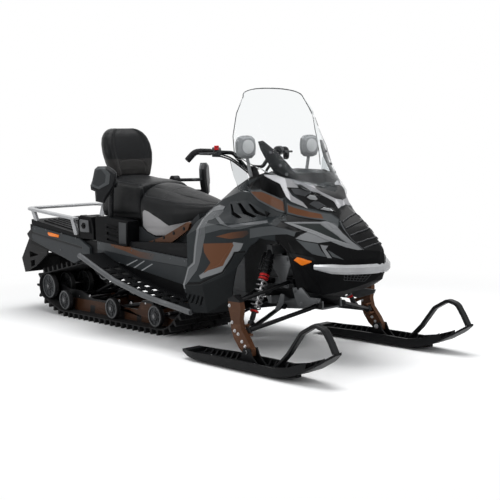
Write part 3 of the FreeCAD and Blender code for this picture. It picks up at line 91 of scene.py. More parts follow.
world = bpy.data.worlds.new("studio")
world.use_nodes = True
tree = world.node_tree
tree.nodes.clear()
soft = add_node(tree, "ShaderNodeBackground", {"Color": (0.94, 0.97, 1.0, 1.0), "Strength": 0.26})
plain = add_node(tree, "ShaderNodeBackground", {"Color": (1.0, 1.0, 1.0, 1.0)})
choice = {"Fac": seen_directly(tree), 1: soft.outputs[0], 2: plain.outputs[0]}
mixed = add_node(tree, "ShaderNodeMixShader", choice).outputs[0]
add_node(tree, "ShaderNodeOutputWorld", {"Surface": mixed})
bpy.context.scene.world = world

floor_half = 16.0
fade_start, fade_end = 1.3, 3.6
floor_mesh = bpy.data.meshes.new("studio_floor")
floor_mesh.from_pydata([(-floor_half, -floor_half, 0), (floor_half, -floor_half, 0),
                        (floor_half, floor_half, 0), (-floor_half, floor_half, 0)], [], [(0, 1, 2, 3)])
floor = bpy.data.objects.new("studio_floor", floor_mesh)
bpy.context.scene.collection.objects.link(floor)
floor_look = bpy.data.materials.new("studio_floor")
floor_look.use_nodes = True
tree = floor_look.node_tree
tree.nodes.clear()
diffuse = add_node(tree, "ShaderNodeBsdfDiffuse", {"Color": (0.93, 0.93, 0.93, 1.0)})
glow = add_node(tree, "ShaderNodeEmission")
where = add_node(tree, "ShaderNodeTexCoord")
far = add_node(tree, "ShaderNodeVectorMath", {0: where.outputs["Object"]}, operation="LENGTH")
fade = add_node(tree, "ShaderNodeMapRange", {"Value": far.outputs["Value"], "From Min": fade_start,
                                             "From Max": fade_end}, interpolation_type="SMOOTHERSTEP")
whiter = combine(tree, "MULTIPLY", fade.outputs["Result"], seen_directly(tree))
choice = {"Fac": whiter, 1: diffuse.outputs[0], 2: glow.outputs[0]}
mixed = add_node(tree, "ShaderNodeMixShader", choice).outputs[0]
add_node(tree, "ShaderNodeOutputMaterial", {"Surface": mixed})
floor.data.materials.append(floor_look)

for name, place, aim, size, power in (
        ("top_softbox", (0.2, 0.2, 4.4), (0.0, 0.0, 0.6), 4.2, 240.0),
        ("front_softbox", (5.0, 0.6, 2.6), (0.6, 0.0, 0.6), 2.2, 60.0),
        ("side_softbox", (-0.8, -5.4, 3.0), (-0.2, 0.0, 0.5), 2.6, 110.0)):
    lamp = bpy.data.objects.new(name, bpy.data.lights.new(name, "AREA"))
    lamp.data.shape = "SQUARE"
    lamp.data.size = size
    lamp.data.energy = power
    lamp.location = place
    lamp.rotation_euler = (Vector(place) - Vector(aim)).to_track_quat("Z", "Y").to_euler()
    bpy.context.scene.collection.objects.link(lamp)

# The track: one wide moulded rubber belt with rows of lugs, stiffened by cross rods set in the rubber.
# Its loop and lugs come from the CAD; the rubber is dull black, a little paler where it rubs.
def laid_over(tree, share, under, colour):
    """A colour laid over another one where share is 1."""
    mix = add_node(tree, "ShaderNodeMix", data_type="RGBA")
    tree.links.new(share, mix.inputs["Factor"])
    tree.links.new(under, mix.inputs["A"])
    mix.inputs["B"].default_value = (*colour, 1.0)
    return mix.outputs["Result"]


def finish(name, colour, roughness, metal=0.0, grain=0.0006, grain_height=0.15, coat=0.0, cloud=9.0,
           spread=0.13, rub=0.0, shine=0.12):
    """A pigmented surface: fine grain, uneven gloss, a cloudy tone, and pale streaks where rub is given."""
    look = bpy.data.materials.new(name)
    look.use_nodes = True
    tree = look.node_tree
    shader = tree.nodes["Principled BSDF"]
    where = add_node(tree, "ShaderNodeTexCoord", name="where").outputs["Object"]
    noise = add_node(tree, "ShaderNodeTexNoise", {"Vector": where, "Scale": cloud, "Detail": 5.0})
    clouds = noise.outputs["Fac"]
    tone = add_node(tree, "ShaderNodeValToRGB", {"Fac": clouds})
    for stop, position, share in zip(tone.color_ramp.elements, (0.3, 0.7), (1.0 - spread, 1.0 + spread)):
        stop.position = position
        stop.color = (*[min(1.0, c * share) for c in colour], 1.0)
    gloss = add_node(tree, "ShaderNodeMapRange", {"Value": clouds, "To Min": max(0.03, roughness - 0.05),
                                                  "To Max": roughness + 0.07})
    speckle = add_node(tree, "ShaderNodeTexNoise", {"Vector": where, "Scale": 1.0 / grain, "Detail": 2.0})
    bump = add_node(tree, "ShaderNodeBump", {"Height": speckle.outputs["Fac"], "Strength": grain_height,
                                             "Distance": 0.0004}, name="grain")
    base = tone.outputs["Color"]
    if rub:
        stretch = add_node(tree, "ShaderNodeMapping", {"Vector": where, "Scale": (6.0, 60.0, 40.0)})
        streak = add_node(tree, "ShaderNodeTexNoise", {"Vector": stretch.outputs["Vector"], "Scale": 1.6,
                                                       "Detail": 6.0})
        worn = add_node(tree, "ShaderNodeMapRange", {"Value": streak.outputs["Fac"], "From Min": 0.56,
                                                     "From Max": 0.74, "To Max": rub})
        base = laid_over(tree, worn.outputs["Result"], base, [min(1.0, c * 2.2 + 0.02) for c in colour])
    tree.links.new(base, shader.inputs["Base Color"])
    tree.links.new(gloss.outputs["Result"], shader.inputs["Roughness"])
    tree.links.new(bump.outputs["Normal"], shader.inputs["Normal"])
    shader.inputs["Coat Weight"].default_value = coat
    shader.inputs["Metallic"].default_value = metal
    shader.inputs["Specular IOR Level"].default_value = shine
    return look


def geometry_tree(name, **sizes):
    """An empty Geometry Nodes tree with its named inputs, and the identifier of each input."""
    group = bpy.data.node_groups.new(name, "GeometryNodeTree")
    group.interface.new_socket("Geometry", in_out="INPUT", socket_type="NodeSocketGeometry")
    for key, kind in sizes.items():
        group.interface.new_socket(key, in_out="INPUT", socket_type=kind)
    group.interface.new_socket("Geometry", in_out="OUTPUT", socket_type="NodeSocketGeometry")
    return group, {s.name: s.identifier for s in group.interface.items_tree if s.in_out == "INPUT"}


soft_edges, soft_edge_inputs = geometry_tree("soft_edges", Crease="NodeSocketFloat")
given = add_node(soft_edges, "NodeGroupInput").outputs
merged = add_node(soft_edges, "GeometryNodeMergeByDistance", {"Geometry": given["Geometry"],
                                                              "Distance": 0.00004})
faces = add_node(soft_edges, "GeometryNodeSetShadeSmooth", {"Geometry": merged.outputs["Geometry"]})
bend = add_node(soft_edges, "GeometryNodeInputMeshEdgeAngle").outputs["Unsigned Angle"]
gentle = add_node(soft_edges, "FunctionNodeCompare", {"A": bend, "B": given["Crease"]}, operation="LESS_THAN")
edges = add_node(soft_edges, "GeometryNodeSetShadeSmooth", {"Geometry": faces.outputs["Geometry"],
                                                            "Shade Smooth": gentle.outputs["Result"]},
                 domain="EDGE")
add_node(soft_edges, "NodeGroupOutput", {"Geometry": edges.outputs["Geometry"]})


def wear(node, look, crease=30.0, rounding=0.0):
    """A CAD node keeps its shape and gets this finish; facets below the crease angle are shaded smooth."""
    solid = nodes[node]
    solid.data.materials.clear()
    solid.data.materials.append(look)
    smoothing = solid.modifiers.new("soft_edges", "NODES")
    smoothing.node_group = soft_edges
    smoothing[soft_edge_inputs["Crease"]] = math.radians(crease)
    if rounding:
        edge = solid.modifiers.new("rounded_edges", "BEVEL")
        edge.width = rounding
        edge.segments = 2
        edge.limit_method = "ANGLE"
        edge.angle_limit = math.radians(crease)
        edge.harden_normals = True


track_rubber = finish("track_rubber", (0.014, 0.014, 0.0145), 0.62, grain=0.0014, grain_height=0.5, rub=0.5)
wear("track", track_rubber, 25.0)

# The rear suspension's two side rails: pressed aluminium beams, powder coated copper-brown and pierced.
# Their upper edges, gussets and feet are black. Black steel arms and shocks hang them, on plated bolts.
def turning(a, b, c):
    """Above 0 where the way through three places in side view turns left."""
    return (b[0] - a[0]) * (c[1] - b[1]) - (b[1] - a[1]) * (c[0] - b[0])


def joined_part(outline, first, second):
    """Two parts of an outline that share an edge, as one part if that is convex, or else None."""
    for k, corner in enumerate(first):
        following = first[(k + 1) % len(first)]
        if corner in second and following in second:
            m = second.index(following)
            if second[(m + 1) % len(second)] == corner:
                part = first[k + 1:] + first[:k + 1]
                part += [second[(m + n) % len(second)] for n in range(2, len(second))]
                threes = [[outline[part[n + step]] for step in (-2, -1, 0)] for n in range(len(part))]
                convex = min(turning(*three) for three in threes) > -1e-6
                return part if convex else None
    return None


def convex_parts(outline):
    """Convex parts of an outline: its triangles, joined with their neighbours while they stay convex."""
    parts = []
    for triangle in tessellate_polygon([[Vector((x, z, 0.0)) for x, z in outline]]):
        way = turning(*[outline[i] for i in triangle])
        if abs(way) > 1e-6:
            parts.append(list(triangle) if way > 0 else list(triangle)[::-1])
    joining = True
    while joining:
        joining = False
        for i, j in [(i, j) for i in range(len(parts)) for j in range(i + 1, len(parts))]:
            part = joined_part(outline, parts[i], parts[j])
            if part:
                parts[i] = part
                del parts[j]
                joining = True
                break
    return [[outline[n] for n in part] for part in parts]


def homogeneous(tree):
    """The place as (x, 1, z), so that one dot product gives the distance from a line in side view."""
    found = tree.nodes.get("side_view")
    if not found:
        place = add_node(tree, "ShaderNodeSeparateXYZ",
                         {"Vector": tree.nodes["where"].outputs["Object"]}).outputs
        found = add_node(tree, "ShaderNodeCombineXYZ", {"X": place["X"], "Y": 1.0, "Z": place["Z"]},
                         name="side_view")
    return found.outputs["Vector"]


def depth_inside(tree, corners):
    """How far in metres a point lies inside a convex outline, given in side view by x and z in mm."""
    place = homogeneous(tree)
    least = None
    for (x0, z0), (x1, z1) in zip(corners, corners[1:] + corners[:1]):
        x0, z0, x1, z1 = x0 / 1000, z0 / 1000, x1 / 1000, z1 / 1000
        length = math.hypot(x1 - x0, z1 - z0)
        nx, nz = (z0 - z1) / length, (x1 - x0) / length
        line = add_node(tree, "ShaderNodeVectorMath", {0: place, 1: (nx, -(nx * x0 + nz * z0), nz)},
                        operation="DOT_PRODUCT").outputs["Value"]
        least = line if least is None else combine(tree, "MINIMUM", least, line)
    return least


def ramp_between(tree, value, low, high):
    """0 below low, 1 above high, and even between them."""
    return add_node(tree, "ShaderNodeMapRange", {"Value": value, "From Min": low,
                                                 "From Max": high}).outputs["Result"]


def paint_zone(look, outlines, colour, relief=0.0, fade=None):
    """Paint one colour inside some outlines; relief in metres raises the zone a little, or sinks it below 0.
    fade gives the x in millimetres where the paint is gone and where it is full."""
    tree = look.node_tree
    shader = tree.nodes["Principled BSDF"]
    inside = None
    for outline in outlines:
        for part in convex_parts(outline):
            depth = depth_inside(tree, part)
            inside = depth if inside is None else combine(tree, "MAXIMUM", inside, depth)
    mask = ramp_between(tree, inside, -0.0006, 0.0)
    if fade:
        across = add_node(tree, "ShaderNodeSeparateXYZ", {"Vector": tree.nodes["where"].outputs["Object"]})
        full = ramp_between(tree, across.outputs["X"], fade[0] / 1000, fade[1] / 1000)
        mask = combine(tree, "MULTIPLY", mask, full)
    before = shader.inputs["Base Color"].links[0].from_socket
    tree.links.new(laid_over(tree, mask, before, colour), shader.inputs["Base Color"])
    if relief:
        step = {"Height": ramp_between(tree, inside, -0.004, 0.0), "Strength": 0.9, "Distance": abs(relief),
                "Normal": shader.inputs["Normal"].links[0].from_socket}
        bump = add_node(tree, "ShaderNodeBump", step, invert=relief < 0)
        tree.links.new(bump.outputs["Normal"], shader.inputs["Normal"])


rail_coat = finish("rail_powder_coat", (0.046, 0.0195, 0.0095), 0.38, metal=0.3, grain=0.0012,
                   grain_height=0.25, coat=0.012, rub=0.4)
paint_zone(rail_coat, [[(-1400, 124), (-680, 124), (-600, 160), (-600, 420), (-1400, 420)],
                       [(-640, 40), (-540, 40), (-540, 420), (-640, 420)],
                       [(-470, 168), (-230, 168), (-230, 420), (-540, 420)],
                       [(-230, 40), (-130, 40), (-130, 420), (-230, 420)],
                       [(-130, 150), (60, 190), (200, 420), (-130, 420)],
                       [(-960, 40), (-900, 40), (-890, 92), (-950, 92)],
                       [(-400, 40), (-350, 40), (-350, 84), (-400, 84)]], (0.009, 0.0093, 0.010))
wear("skid_rails", rail_coat, 30.0, 0.0012)
black_steel = finish("black_coated_steel", (0.005, 0.0052, 0.0058), 0.34, metal=0.2, grain=0.001,
                     grain_height=0.15, coat=0.011, rub=0.3, shine=0.091)
for node in ("skid_front_arm", "skid_rear_arm", "drive_axle", "skid_shocks"):
    wear(node, black_steel, 30.0)
axle_steel = finish("worn_axle_steel", (0.15, 0.15, 0.155), 0.36, metal=0.8, grain=0.0008, grain_height=0.1)
wear("track_axles", axle_steel, 30.0)


def mm(x, y, z):
    """A place in the CAD's frame, given in millimetres."""
    return Vector((x, y, z)) / 1000.0


def ring(work, centre, side, over, radius, count):
    """One ring of vertices round a centre, in the plane of two unit vectors."""
    angles = [k * math.tau / count for k in range(count)]
    return [work.verts.new(centre + (side * math.cos(a) + over * math.sin(a)) * radius) for a in angles]


def bridge(work, rings, foot=True, top=True):
    """Join each ring of vertices to the next, and close the first and the last one where wanted."""
    for low, high in zip(rings, rings[1:]):
        for k in range(len(low)):
            n = (k + 1) % len(low)
            work.faces.new((low[k], low[n], high[n], high[k]))
    if foot:
        work.faces.new(rings[0][::-1])
    if top:
        work.faces.new(rings[-1])


def bolt_head(work, place, axis, radius, height):
    """A hexagon head on a washer, standing on a face that looks along the axis."""
    side = axis.orthogonal().normalized()
    over = axis.cross(side)
    washer_top = 0.0015
    for low, high, r, count in ((-0.001, washer_top, radius * 1.45, 16), (washer_top, height, radius, 6)):
        rows = ((low, 1.0), (high - 0.0008, 1.0), (high, 0.88))
        bridge(work, [ring(work, place + axis * lift, side, over, r * share, count) for lift, share in rows])


def side_bolts(work, places, y, radius, height):
    """Bolt heads on both sides of the machine: places in x and z, and y from the middle, in millimetres."""
    for out in (-1, 1):
        for x, z in places:
            bolt_head(work, mm(x, out * y, z), Vector((0, out, 0)), radius, height)


def as_mesh(work, name):
    """The mesh of a finished work piece."""
    mesh = bpy.data.meshes.new(name)
    work.to_mesh(mesh)
    work.free()
    return mesh


def keep(name, shape, look, body, smooth=35.0):
    """Link a shape as a piece: merge doubles, turn its faces out, shade it, and let it ride on its body."""
    mesh = as_mesh(shape, name) if isinstance(shape, bmesh.types.BMesh) else shape
    work = bmesh.new()
    work.from_mesh(mesh)
    bmesh.ops.remove_doubles(work, verts=work.verts, dist=0.00002)
    bmesh.ops.recalc_face_normals(work, faces=work.faces)
    work.to_mesh(mesh)
    work.free()
    mesh.name = name
    mesh.materials.clear()
    mesh.materials.append(look)
    mesh.shade_smooth()
    if smooth:
        mesh.set_sharp_from_angle(angle=math.radians(smooth))
    piece = bpy.data.objects.new(name, mesh)
    bpy.context.scene.collection.objects.link(piece)
    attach(piece, body)
    return piece


bright_steel = finish("zinc_plated_steel", (0.42, 0.42, 0.43), 0.3, metal=1.0, grain=0.0008, grain_height=0.1)
rail_face = 156.2
work = bmesh.new()
side_bolts(work, ((-1330, 150), (-1240, 120), (-1090, 140), (-960, 150), (-760, 110), (-600, 150),
                  (-470, 150), (-300, 165), (-210, 120), (-60, 120), (30, 95)), rail_face, 0.0075, 0.006)
keep("rail_bolts", work, bright_steel, "chassis")

# The road wheels: dark moulded wheels with a solid rubber tyre, a pale ring at the tyre's edge that is a
# painted highlight, eight ribs and a hub cap.
# They run on the belt inside the track, clamped on the cross shafts; the rear ones are larger.
tyre_rubber = finish("tyre_rubber", (0.02, 0.02, 0.021), 0.55, grain=0.001, grain_height=0.3, rub=0.5)
# the pale ring round each tyre's edge is a painted highlight
pale_rim_highlight = finish("tyre_rim_painted_highlight", (0.10, 0.103, 0.106), 0.42, metal=0.2, grain=0.001, grain_height=0.2,
                    spread=0.3)
wheel_disc = finish("wheel_plastic", (0.05, 0.052, 0.055), 0.45, grain=0.0009, spread=0.2)
wear("idler_wheels", tyre_rubber, 30.0)
wear("rear_axle_wheels", tyre_rubber, 30.0)


def turned_ring(work, centre, out, rows, count=36):
    """A ring turned about an axle across the machine: rows of radius and height along the axle."""
    side, over = Vector((1, 0, 0)), Vector((0, 0, 1))
    rings = [ring(work, centre + Vector((0, out * lift, 0)), side, over, radius, count)
             for radius, lift in rows]
    bridge(work, rings, foot=False, top=False)


outer_wheels = (-212, 212)
rib_count = 8
hub_reach = 0.030
edges, ribs = bmesh.new(), bmesh.new()
for x, z, radius, middles in ((-1183, 110, 0.070, outer_wheels), (-598, 110, 0.070, outer_wheels),
                              (-116, 110, 0.070, outer_wheels), (-670, 358, 0.070, outer_wheels),
                              (-1389, 193, 0.089, (-212, -75, 75, 212))):
    for centre, out in [(mm(x, y, z), out) for y in middles for out in (-1, 1)]:
        outward = Vector((0, out, 0))
        turned_ring(edges, centre, out, ((radius - 0.0145, 0.0120), (radius - 0.0135, 0.0164),
                                         (radius - 0.0060, 0.0168), (radius - 0.0050, 0.0155)))
        turned_ring(ribs, centre, out, ((radius - 0.0155, 0.0041), (radius - 0.0155, 0.0090),
                                        (radius - 0.0185, 0.0095), (radius - 0.0205, 0.0060), (0.036, 0.0060),
                                        (0.034, 0.0120), (0.031, 0.0130), (0.0305, 0.0041)))
        rim_reach = radius - 0.016
        for k in range(rib_count):
            angle = k * math.tau / rib_count
            along = Vector((math.cos(angle), 0, math.sin(angle)))
            wide = Vector((-math.sin(angle), 0, math.cos(angle)))
            rows = []
            for half, hub_lift, rim_lift in ((0.0045, 0.0041, 0.0041), (0.0028, 0.0125, 0.0095)):
                corners = ((hub_reach, -half, hub_lift), (rim_reach, -half, rim_lift),
                           (rim_reach, half, rim_lift), (hub_reach, half, hub_lift))
                rows.append([ribs.verts.new(centre + along * reach + wide * aside + outward * lift)
                             for reach, aside, lift in corners])
            bridge(ribs, rows, foot=False)
        turned_ring(ribs, centre, out, ((0.026, 0.0155), (0.025, 0.0172), (0.0165, 0.0172),
                                        (0.0160, 0.0150)), 24)
keep("wheel_edges", edges, pale_rim_highlight, "chassis", 50)
keep("wheel_spokes", ribs, wheel_disc, "chassis", 30)

# The tunnel: folded black-painted aluminium sheet over the track, with painted panels riveted to its sides.
# The panels carry a copper stripe that fades forward and three pale chevrons; a lighter band along their top
# edge is a painted highlight.
panel_black = finish("matte_black_plastic", (0.0035, 0.0037, 0.0042), 0.42, grain=0.0007, grain_height=0.25,
                     rub=0.12, shine=0.046)
tunnel_black = finish("black_tunnel_paint", (0.0035, 0.0037, 0.0042), 0.4, grain=0.0014, grain_height=0.1,
                      rub=0.3, shine=0.076)
wear("tunnel", tunnel_black, 30.0, 0.001)
tunnel_paint = finish("tunnel_panel_paint", (0.023, 0.026, 0.0285), 0.32, coat=0.007, shine=0.091)
painted_highlight_band = [(-640, 620), (-640, 503), (-160, 470), (300, 452), (560, 442), (560, 620)]
copper_stripe = [[(-500, 562), (-352, 546), (-321, 508), (-466, 528)],
                 [(-352, 546), (-159, 513), (-161, 477), (-321, 508)],
                 [(-159, 513), (-2, 508), (-36, 470), (-161, 477)]]
chevrons = [[(-396, 433), (-337, 413), (-335, 405), (-399, 425)],
            [(-337, 413), (-194, 462), (-186, 460), (-335, 405)],
            [(-294, 406), (-260, 399), (-258, 391), (-298, 398)],
            [(-260, 399), (-120, 460), (-112, 458), (-258, 391)],
            [(-219, 390), (-186, 386), (-184, 378), (-222, 382)],
            [(-186, 386), (-37, 447), (-29, 445), (-184, 378)]]
# the band along the panels' top edge is painted lighter as a highlight
paint_zone(tunnel_paint, [painted_highlight_band], (0.052, 0.056, 0.059), 0.002)
paint_zone(tunnel_paint, copper_stripe, (0.112, 0.047, 0.023), fade=(20, -300))
paint_zone(tunnel_paint, chevrons, (0.30, 0.31, 0.32))
wear("tunnel_panels", tunnel_paint, 30.0, 0.0015)

# The running boards: pressed black sheet with drain slots and rows of punched teeth that grip the boots.
# A grey tube along each edge stiffens them.
wear("running_boards", panel_black, 30.0)
rail_grey = finish("grey_rail_paint", (0.085, 0.088, 0.092), 0.36, metal=0.35, coat=0.021, rub=0.3)
wear("side_rails", rail_grey, 30.0)
board_line = ((-572, 485), (-376, 417), (-188, 355), (101, 295), (273, 271), (448, 252), (560, 238))
tooth_rows = ((300, 0), (371, 13), (440, 0))
tooth_first, tooth_pitch, teeth_in_row = -420, 26, 34


def height_on(line, x):
    """The height at x of a line of places in x and z."""
    for (x0, z0), (x1, z1) in zip(line, line[1:]):
        if x <= x1:
            return z0 + (z1 - z0) * (x - x0) / (x1 - x0)
    return line[-1][1]


def baked(piece):
    """The mesh that an object's modifiers make, which are then removed."""
    view_layer.update()
    mesh = bpy.data.meshes.new_from_object(piece.evaluated_get(bpy.context.evaluated_depsgraph_get()))
    piece.modifiers.clear()
    return mesh


def repeat_on_points(name, places, tilts, shape_mesh, look):
    """The mesh of one small shape set on every place by Geometry Nodes, each turned by its own tilt."""
    spots = bpy.data.meshes.new(name + "_spots")
    spots.from_pydata(places, [], [])
    turns = spots.attributes.new("turn", "FLOAT_VECTOR", "POINT")
    for turn, tilt in zip(turns.data, tilts):
        turn.vector = tilt
    holder = bpy.data.objects.new(name + "_spots", spots)
    shape = bpy.data.objects.new(name + "_shape", shape_mesh)
    bpy.context.scene.collection.objects.link(holder)
    group, inputs = geometry_tree(name, Shape="NodeSocketObject", Size="NodeSocketFloat")
    given = add_node(group, "NodeGroupInput").outputs
    source = add_node(group, "GeometryNodeObjectInfo", {"Object": given["Shape"]}).outputs["Geometry"]
    points = add_node(group, "GeometryNodeMeshToPoints", {"Mesh": given["Geometry"]}).outputs["Points"]
    lean = add_node(group, "GeometryNodeInputNamedAttribute", {"Name": "turn"}, data_type="FLOAT_VECTOR")
    shapes = add_node(group, "GeometryNodeInstanceOnPoints", {
        "Points": points, "Instance": source, "Rotation": lean.outputs["Attribute"], "Scale": given["Size"]})
    solid = add_node(group, "GeometryNodeRealizeInstances", {"Geometry": shapes.outputs["Instances"]})
    painted = add_node(group, "GeometryNodeSetMaterial", {"Geometry": solid.outputs["Geometry"],
                                                          "Material": look})
    add_node(group, "NodeGroupOutput", {"Geometry": painted.outputs["Geometry"]})
    modifier = holder.modifiers.new(name, "NODES")
    modifier.node_group = group
    modifier[inputs["Shape"]] = shape
    modifier[inputs["Size"]] = 1.0
    mesh = baked(holder)
    bpy.data.objects.remove(holder)
    bpy.data.objects.remove(shape)
    return mesh


work = bmesh.new()
tooth_rings = [ring(work, Vector((0, 0, lift)), Vector((1, 0, 0)), Vector((0, 1, 0)), radius, 8)
               for radius, lift in ((0.006, -0.0005), (0.0038, 0.0032), (0.0026, 0.0006))]
bridge(work, tooth_rings, foot=False)
places, tilts = [], []
for side in (-1, 1):
    for y, shift in tooth_rows:
        for k in range(teeth_in_row):
            x = tooth_first + tooth_pitch * k + shift
            slope = (height_on(board_line, x + 5) - height_on(board_line, x - 5)) / 10
            places.append(mm(x, side * y, height_on(board_line, x)))
            tilts.append((0.0, -math.atan(slope), 0.0))
teeth = repeat_on_points("board_teeth", places, tilts, as_mesh(work, "board_tooth"), panel_black)
keep("board_teeth", teeth, panel_black, "chassis")

# The rear body: painted side panels with an orange reflector and a black corner cap, screwed on the tunnel.
# A black ribbed cargo deck lies between them, with a bright tube rack round it and a red tail light behind.
rear_paint = finish("rear_panel_paint", (0.028, 0.032, 0.0345), 0.34, coat=0.007, shine=0.091)
for outline, colour, relief in (
        ([(-1600, 400), (-1600, 660), (-1476, 660), (-1489, 400)], (0.012, 0.0125, 0.0135), 0.0),
        ([(-1489, 566), (-1485, 580), (-820, 506), (-824, 492)], (0.013, 0.0135, 0.0145), -0.002),
        ([(-1489, 536), (-1489, 566), (-824, 492), (-760, 470), (-938, 380)], (0.034, 0.037, 0.040), 0.0),
        ([(-1271, 587), (-1108, 575), (-1116, 550), (-1259, 558)], (0.02, 0.02, 0.02), 0.0)):
    paint_zone(rear_paint, [outline], colour, relief)
wear("rear_side_panels", rear_paint, 30.0, 0.004)
reflector = finish("orange_reflector", (0.85, 0.20, 0.012), 0.2, grain=0.003, grain_height=0.8, coat=0.084,
                   spread=0.05)
silver = finish("silver_paint", (0.34, 0.345, 0.355), 0.3, metal=0.45, grain_height=0.05, coat=0.035, rub=0.1)
wear("cargo_deck", panel_black, 30.0, 0.003)
wear("rack", silver, 30.0, 0.003)
tube_wall = nodes["rack"].modifiers.new("coated_tube", "DISPLACE")
tube_wall.strength = 0.004
tube_wall.mid_level = 0.0
red_lens = finish("red_lens", (0.30, 0.008, 0.008), 0.18, coat=0.07)
wear("tail_light", red_lens, 30.0, 0.002)
wear("tow_hitch", black_steel, 30.0, 0.0012)
flap_rubber = finish("snow_flap_rubber", (0.015, 0.015, 0.0155), 0.58, grain=0.001, grain_height=0.4, rub=0.4)
wear("snow_flap", flap_rubber, 30.0, 0.002)


def rounded_plate(work, outline, y_face, thick, out, round_in=0.003):
    """A flat plate seen from the side, its outline in x and z millimetres, with a rounded front edge."""
    middle = Vector((sum(p[0] for p in outline), 0, sum(p[1] for p in outline))) / len(outline) / 1000
    rings = []
    for lift, inset in ((0.0, 0.0), (thick - round_in, 0.0), (thick - round_in * 0.3, round_in * 0.35),
                        (thick, round_in)):
        row = []
        for x, z in outline:
            p = mm(x, 0, z)
            p = p + (middle - p).normalized() * inset
            row.append(work.verts.new((p.x, y_face + out * lift, p.z)))
        rings.append(row)
    bridge(work, rings)


def side_plates(work, outline, y_face, thick, round_in=0.003):
    """The same plate on both sides of the machine."""
    for out in (-1, 1):
        rounded_plate(work, outline, out * y_face, thick, out, round_in)


work = bmesh.new()
rear_reflector = [(-1263, 581), (-1250, 586), (-1125, 574), (-1114, 569), (-1122, 555), (-1240, 560),
                  (-1256, 566)]
side_plates(work, rear_reflector, 0.2855, 0.0045, 0.0015)
keep("rear_reflectors", work, reflector, "chassis")
deck_line = ((-1500, 668), (-858, 585))
rib_ends = (-1392, -950)
rib_section = ((-9, 7.5, 0), (-6, 13, 4), (6, 13, 4), (9, 7.5, 0))
work = bmesh.new()
for y in range(-200, 201, 40):
    rows = []
    for x, inward in zip(rib_ends, (1, -1)):
        rows.append([work.verts.new(mm(x + inward * draft, y + aside, height_on(deck_line, x) + lift))
                     for aside, lift, draft in rib_section])
    bridge(work, rows)
keep("deck_ribs", work, panel_black, "chassis")
panel_face = 286
work = bmesh.new()
side_bolts(work, ((-1440, 602), (-1290, 600), (-1080, 582), (-900, 560), (-1100, 470), (-870, 430)),
           panel_face, 0.005, 0.004)
side_bolts(work, ((-610, 540), (-450, 528), (-250, 514), (-50, 500), (150, 490), (290, 484),
                  (-600, 478), (290, 352)), panel_face, 0.004, 0.003)
keep("panel_rivets", work, rail_grey, "chassis")

# The latch boxes at the deck's front corners and the louvred side boxes: black moulded plastic, screwed on.
# A silver face plate with a turn catch sits on each latch box.
grey_panel = finish("grey_moulding", (0.040, 0.042, 0.044), 0.42, coat=0.014)
wear("deck_latches", panel_black, 30.0, 0.003)
wear("side_boxes", panel_black, 30.0, 0.004)
latch_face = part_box("deck_latches")[1][1]
box_face = 0.2858
work = bmesh.new()
side_plates(work, [(-842, 612), (-846, 682), (-836, 690), (-744, 684), (-736, 676), (-730, 612), (-740, 606),
                   (-832, 606)], latch_face, 0.0035, 0.002)
keep("latch_plates", work, rail_grey, "chassis")


def round_bar(work, points, radius, count=12):
    """A round bar swept through the points and closed; radius is one number or one for each point."""
    radii = radius if isinstance(radius, tuple) else (radius,) * len(points)
    rings = []
    side = None
    for i, point in enumerate(points):
        ahead = points[min(i + 1, len(points) - 1)] - points[max(i - 1, 0)]
        ahead.normalize()
        if side is None:
            side = ahead.orthogonal().normalized()
        side = (side - ahead * side.dot(ahead)).normalized()
        rings.append(ring(work, point, side, ahead.cross(side), radii[i], count))
    bridge(work, rings)


work = bmesh.new()
for out in (-1, 1):
    hub = Vector((-0.79, out * (latch_face + 0.003), 0.648))
    outward = Vector((0, out * 0.006, 0))
    round_bar(work, [hub, hub + outward], 0.02, 24)
    lever = [(-806, 643), (-806, 653), (-774, 653), (-774, 643)]
    rounded_plate(work, lever, (hub + outward).y, 0.008, out, 0.002)
keep("latch_catches", work, panel_black, "chassis")
work = bmesh.new()
side_plates(work, [(-382, 552), (-378, 686), (-296, 683), (-306, 552)], box_face, 0.0025, 0.0015)
keep("box_panels", work, grey_panel, "chassis")
work = bmesh.new()
for z in (662, 628, 594, 560):
    louvre = [(-536, z), (-530, z + 7), (-400, z - 4), (-394, z - 11), (-400, z - 14), (-530, z - 5)]
    side_plates(work, louvre, box_face, 0.004)
keep("box_louvres", work, panel_black, "chassis")

# The frame struts: pressed steel ties from the footwell up to the seat, powder coated copper-brown.
# Black bolts fix them to the tunnel.
brown_coat = finish("brown_powder_coat", (0.064, 0.026, 0.0115), 0.38, metal=0.3, grain=0.0012,
                    grain_height=0.25, coat=0.021, rub=0.25)
wear("frame_struts", brown_coat, 30.0, 0.002)
strut_face = 240
work = bmesh.new()
side_bolts(work, ((-160, 549), (-70, 575), (30, 606), (130, 636), (230, 666)), strut_face, 0.008, 0.004)
keep("strut_bolts", work, black_steel, "chassis")

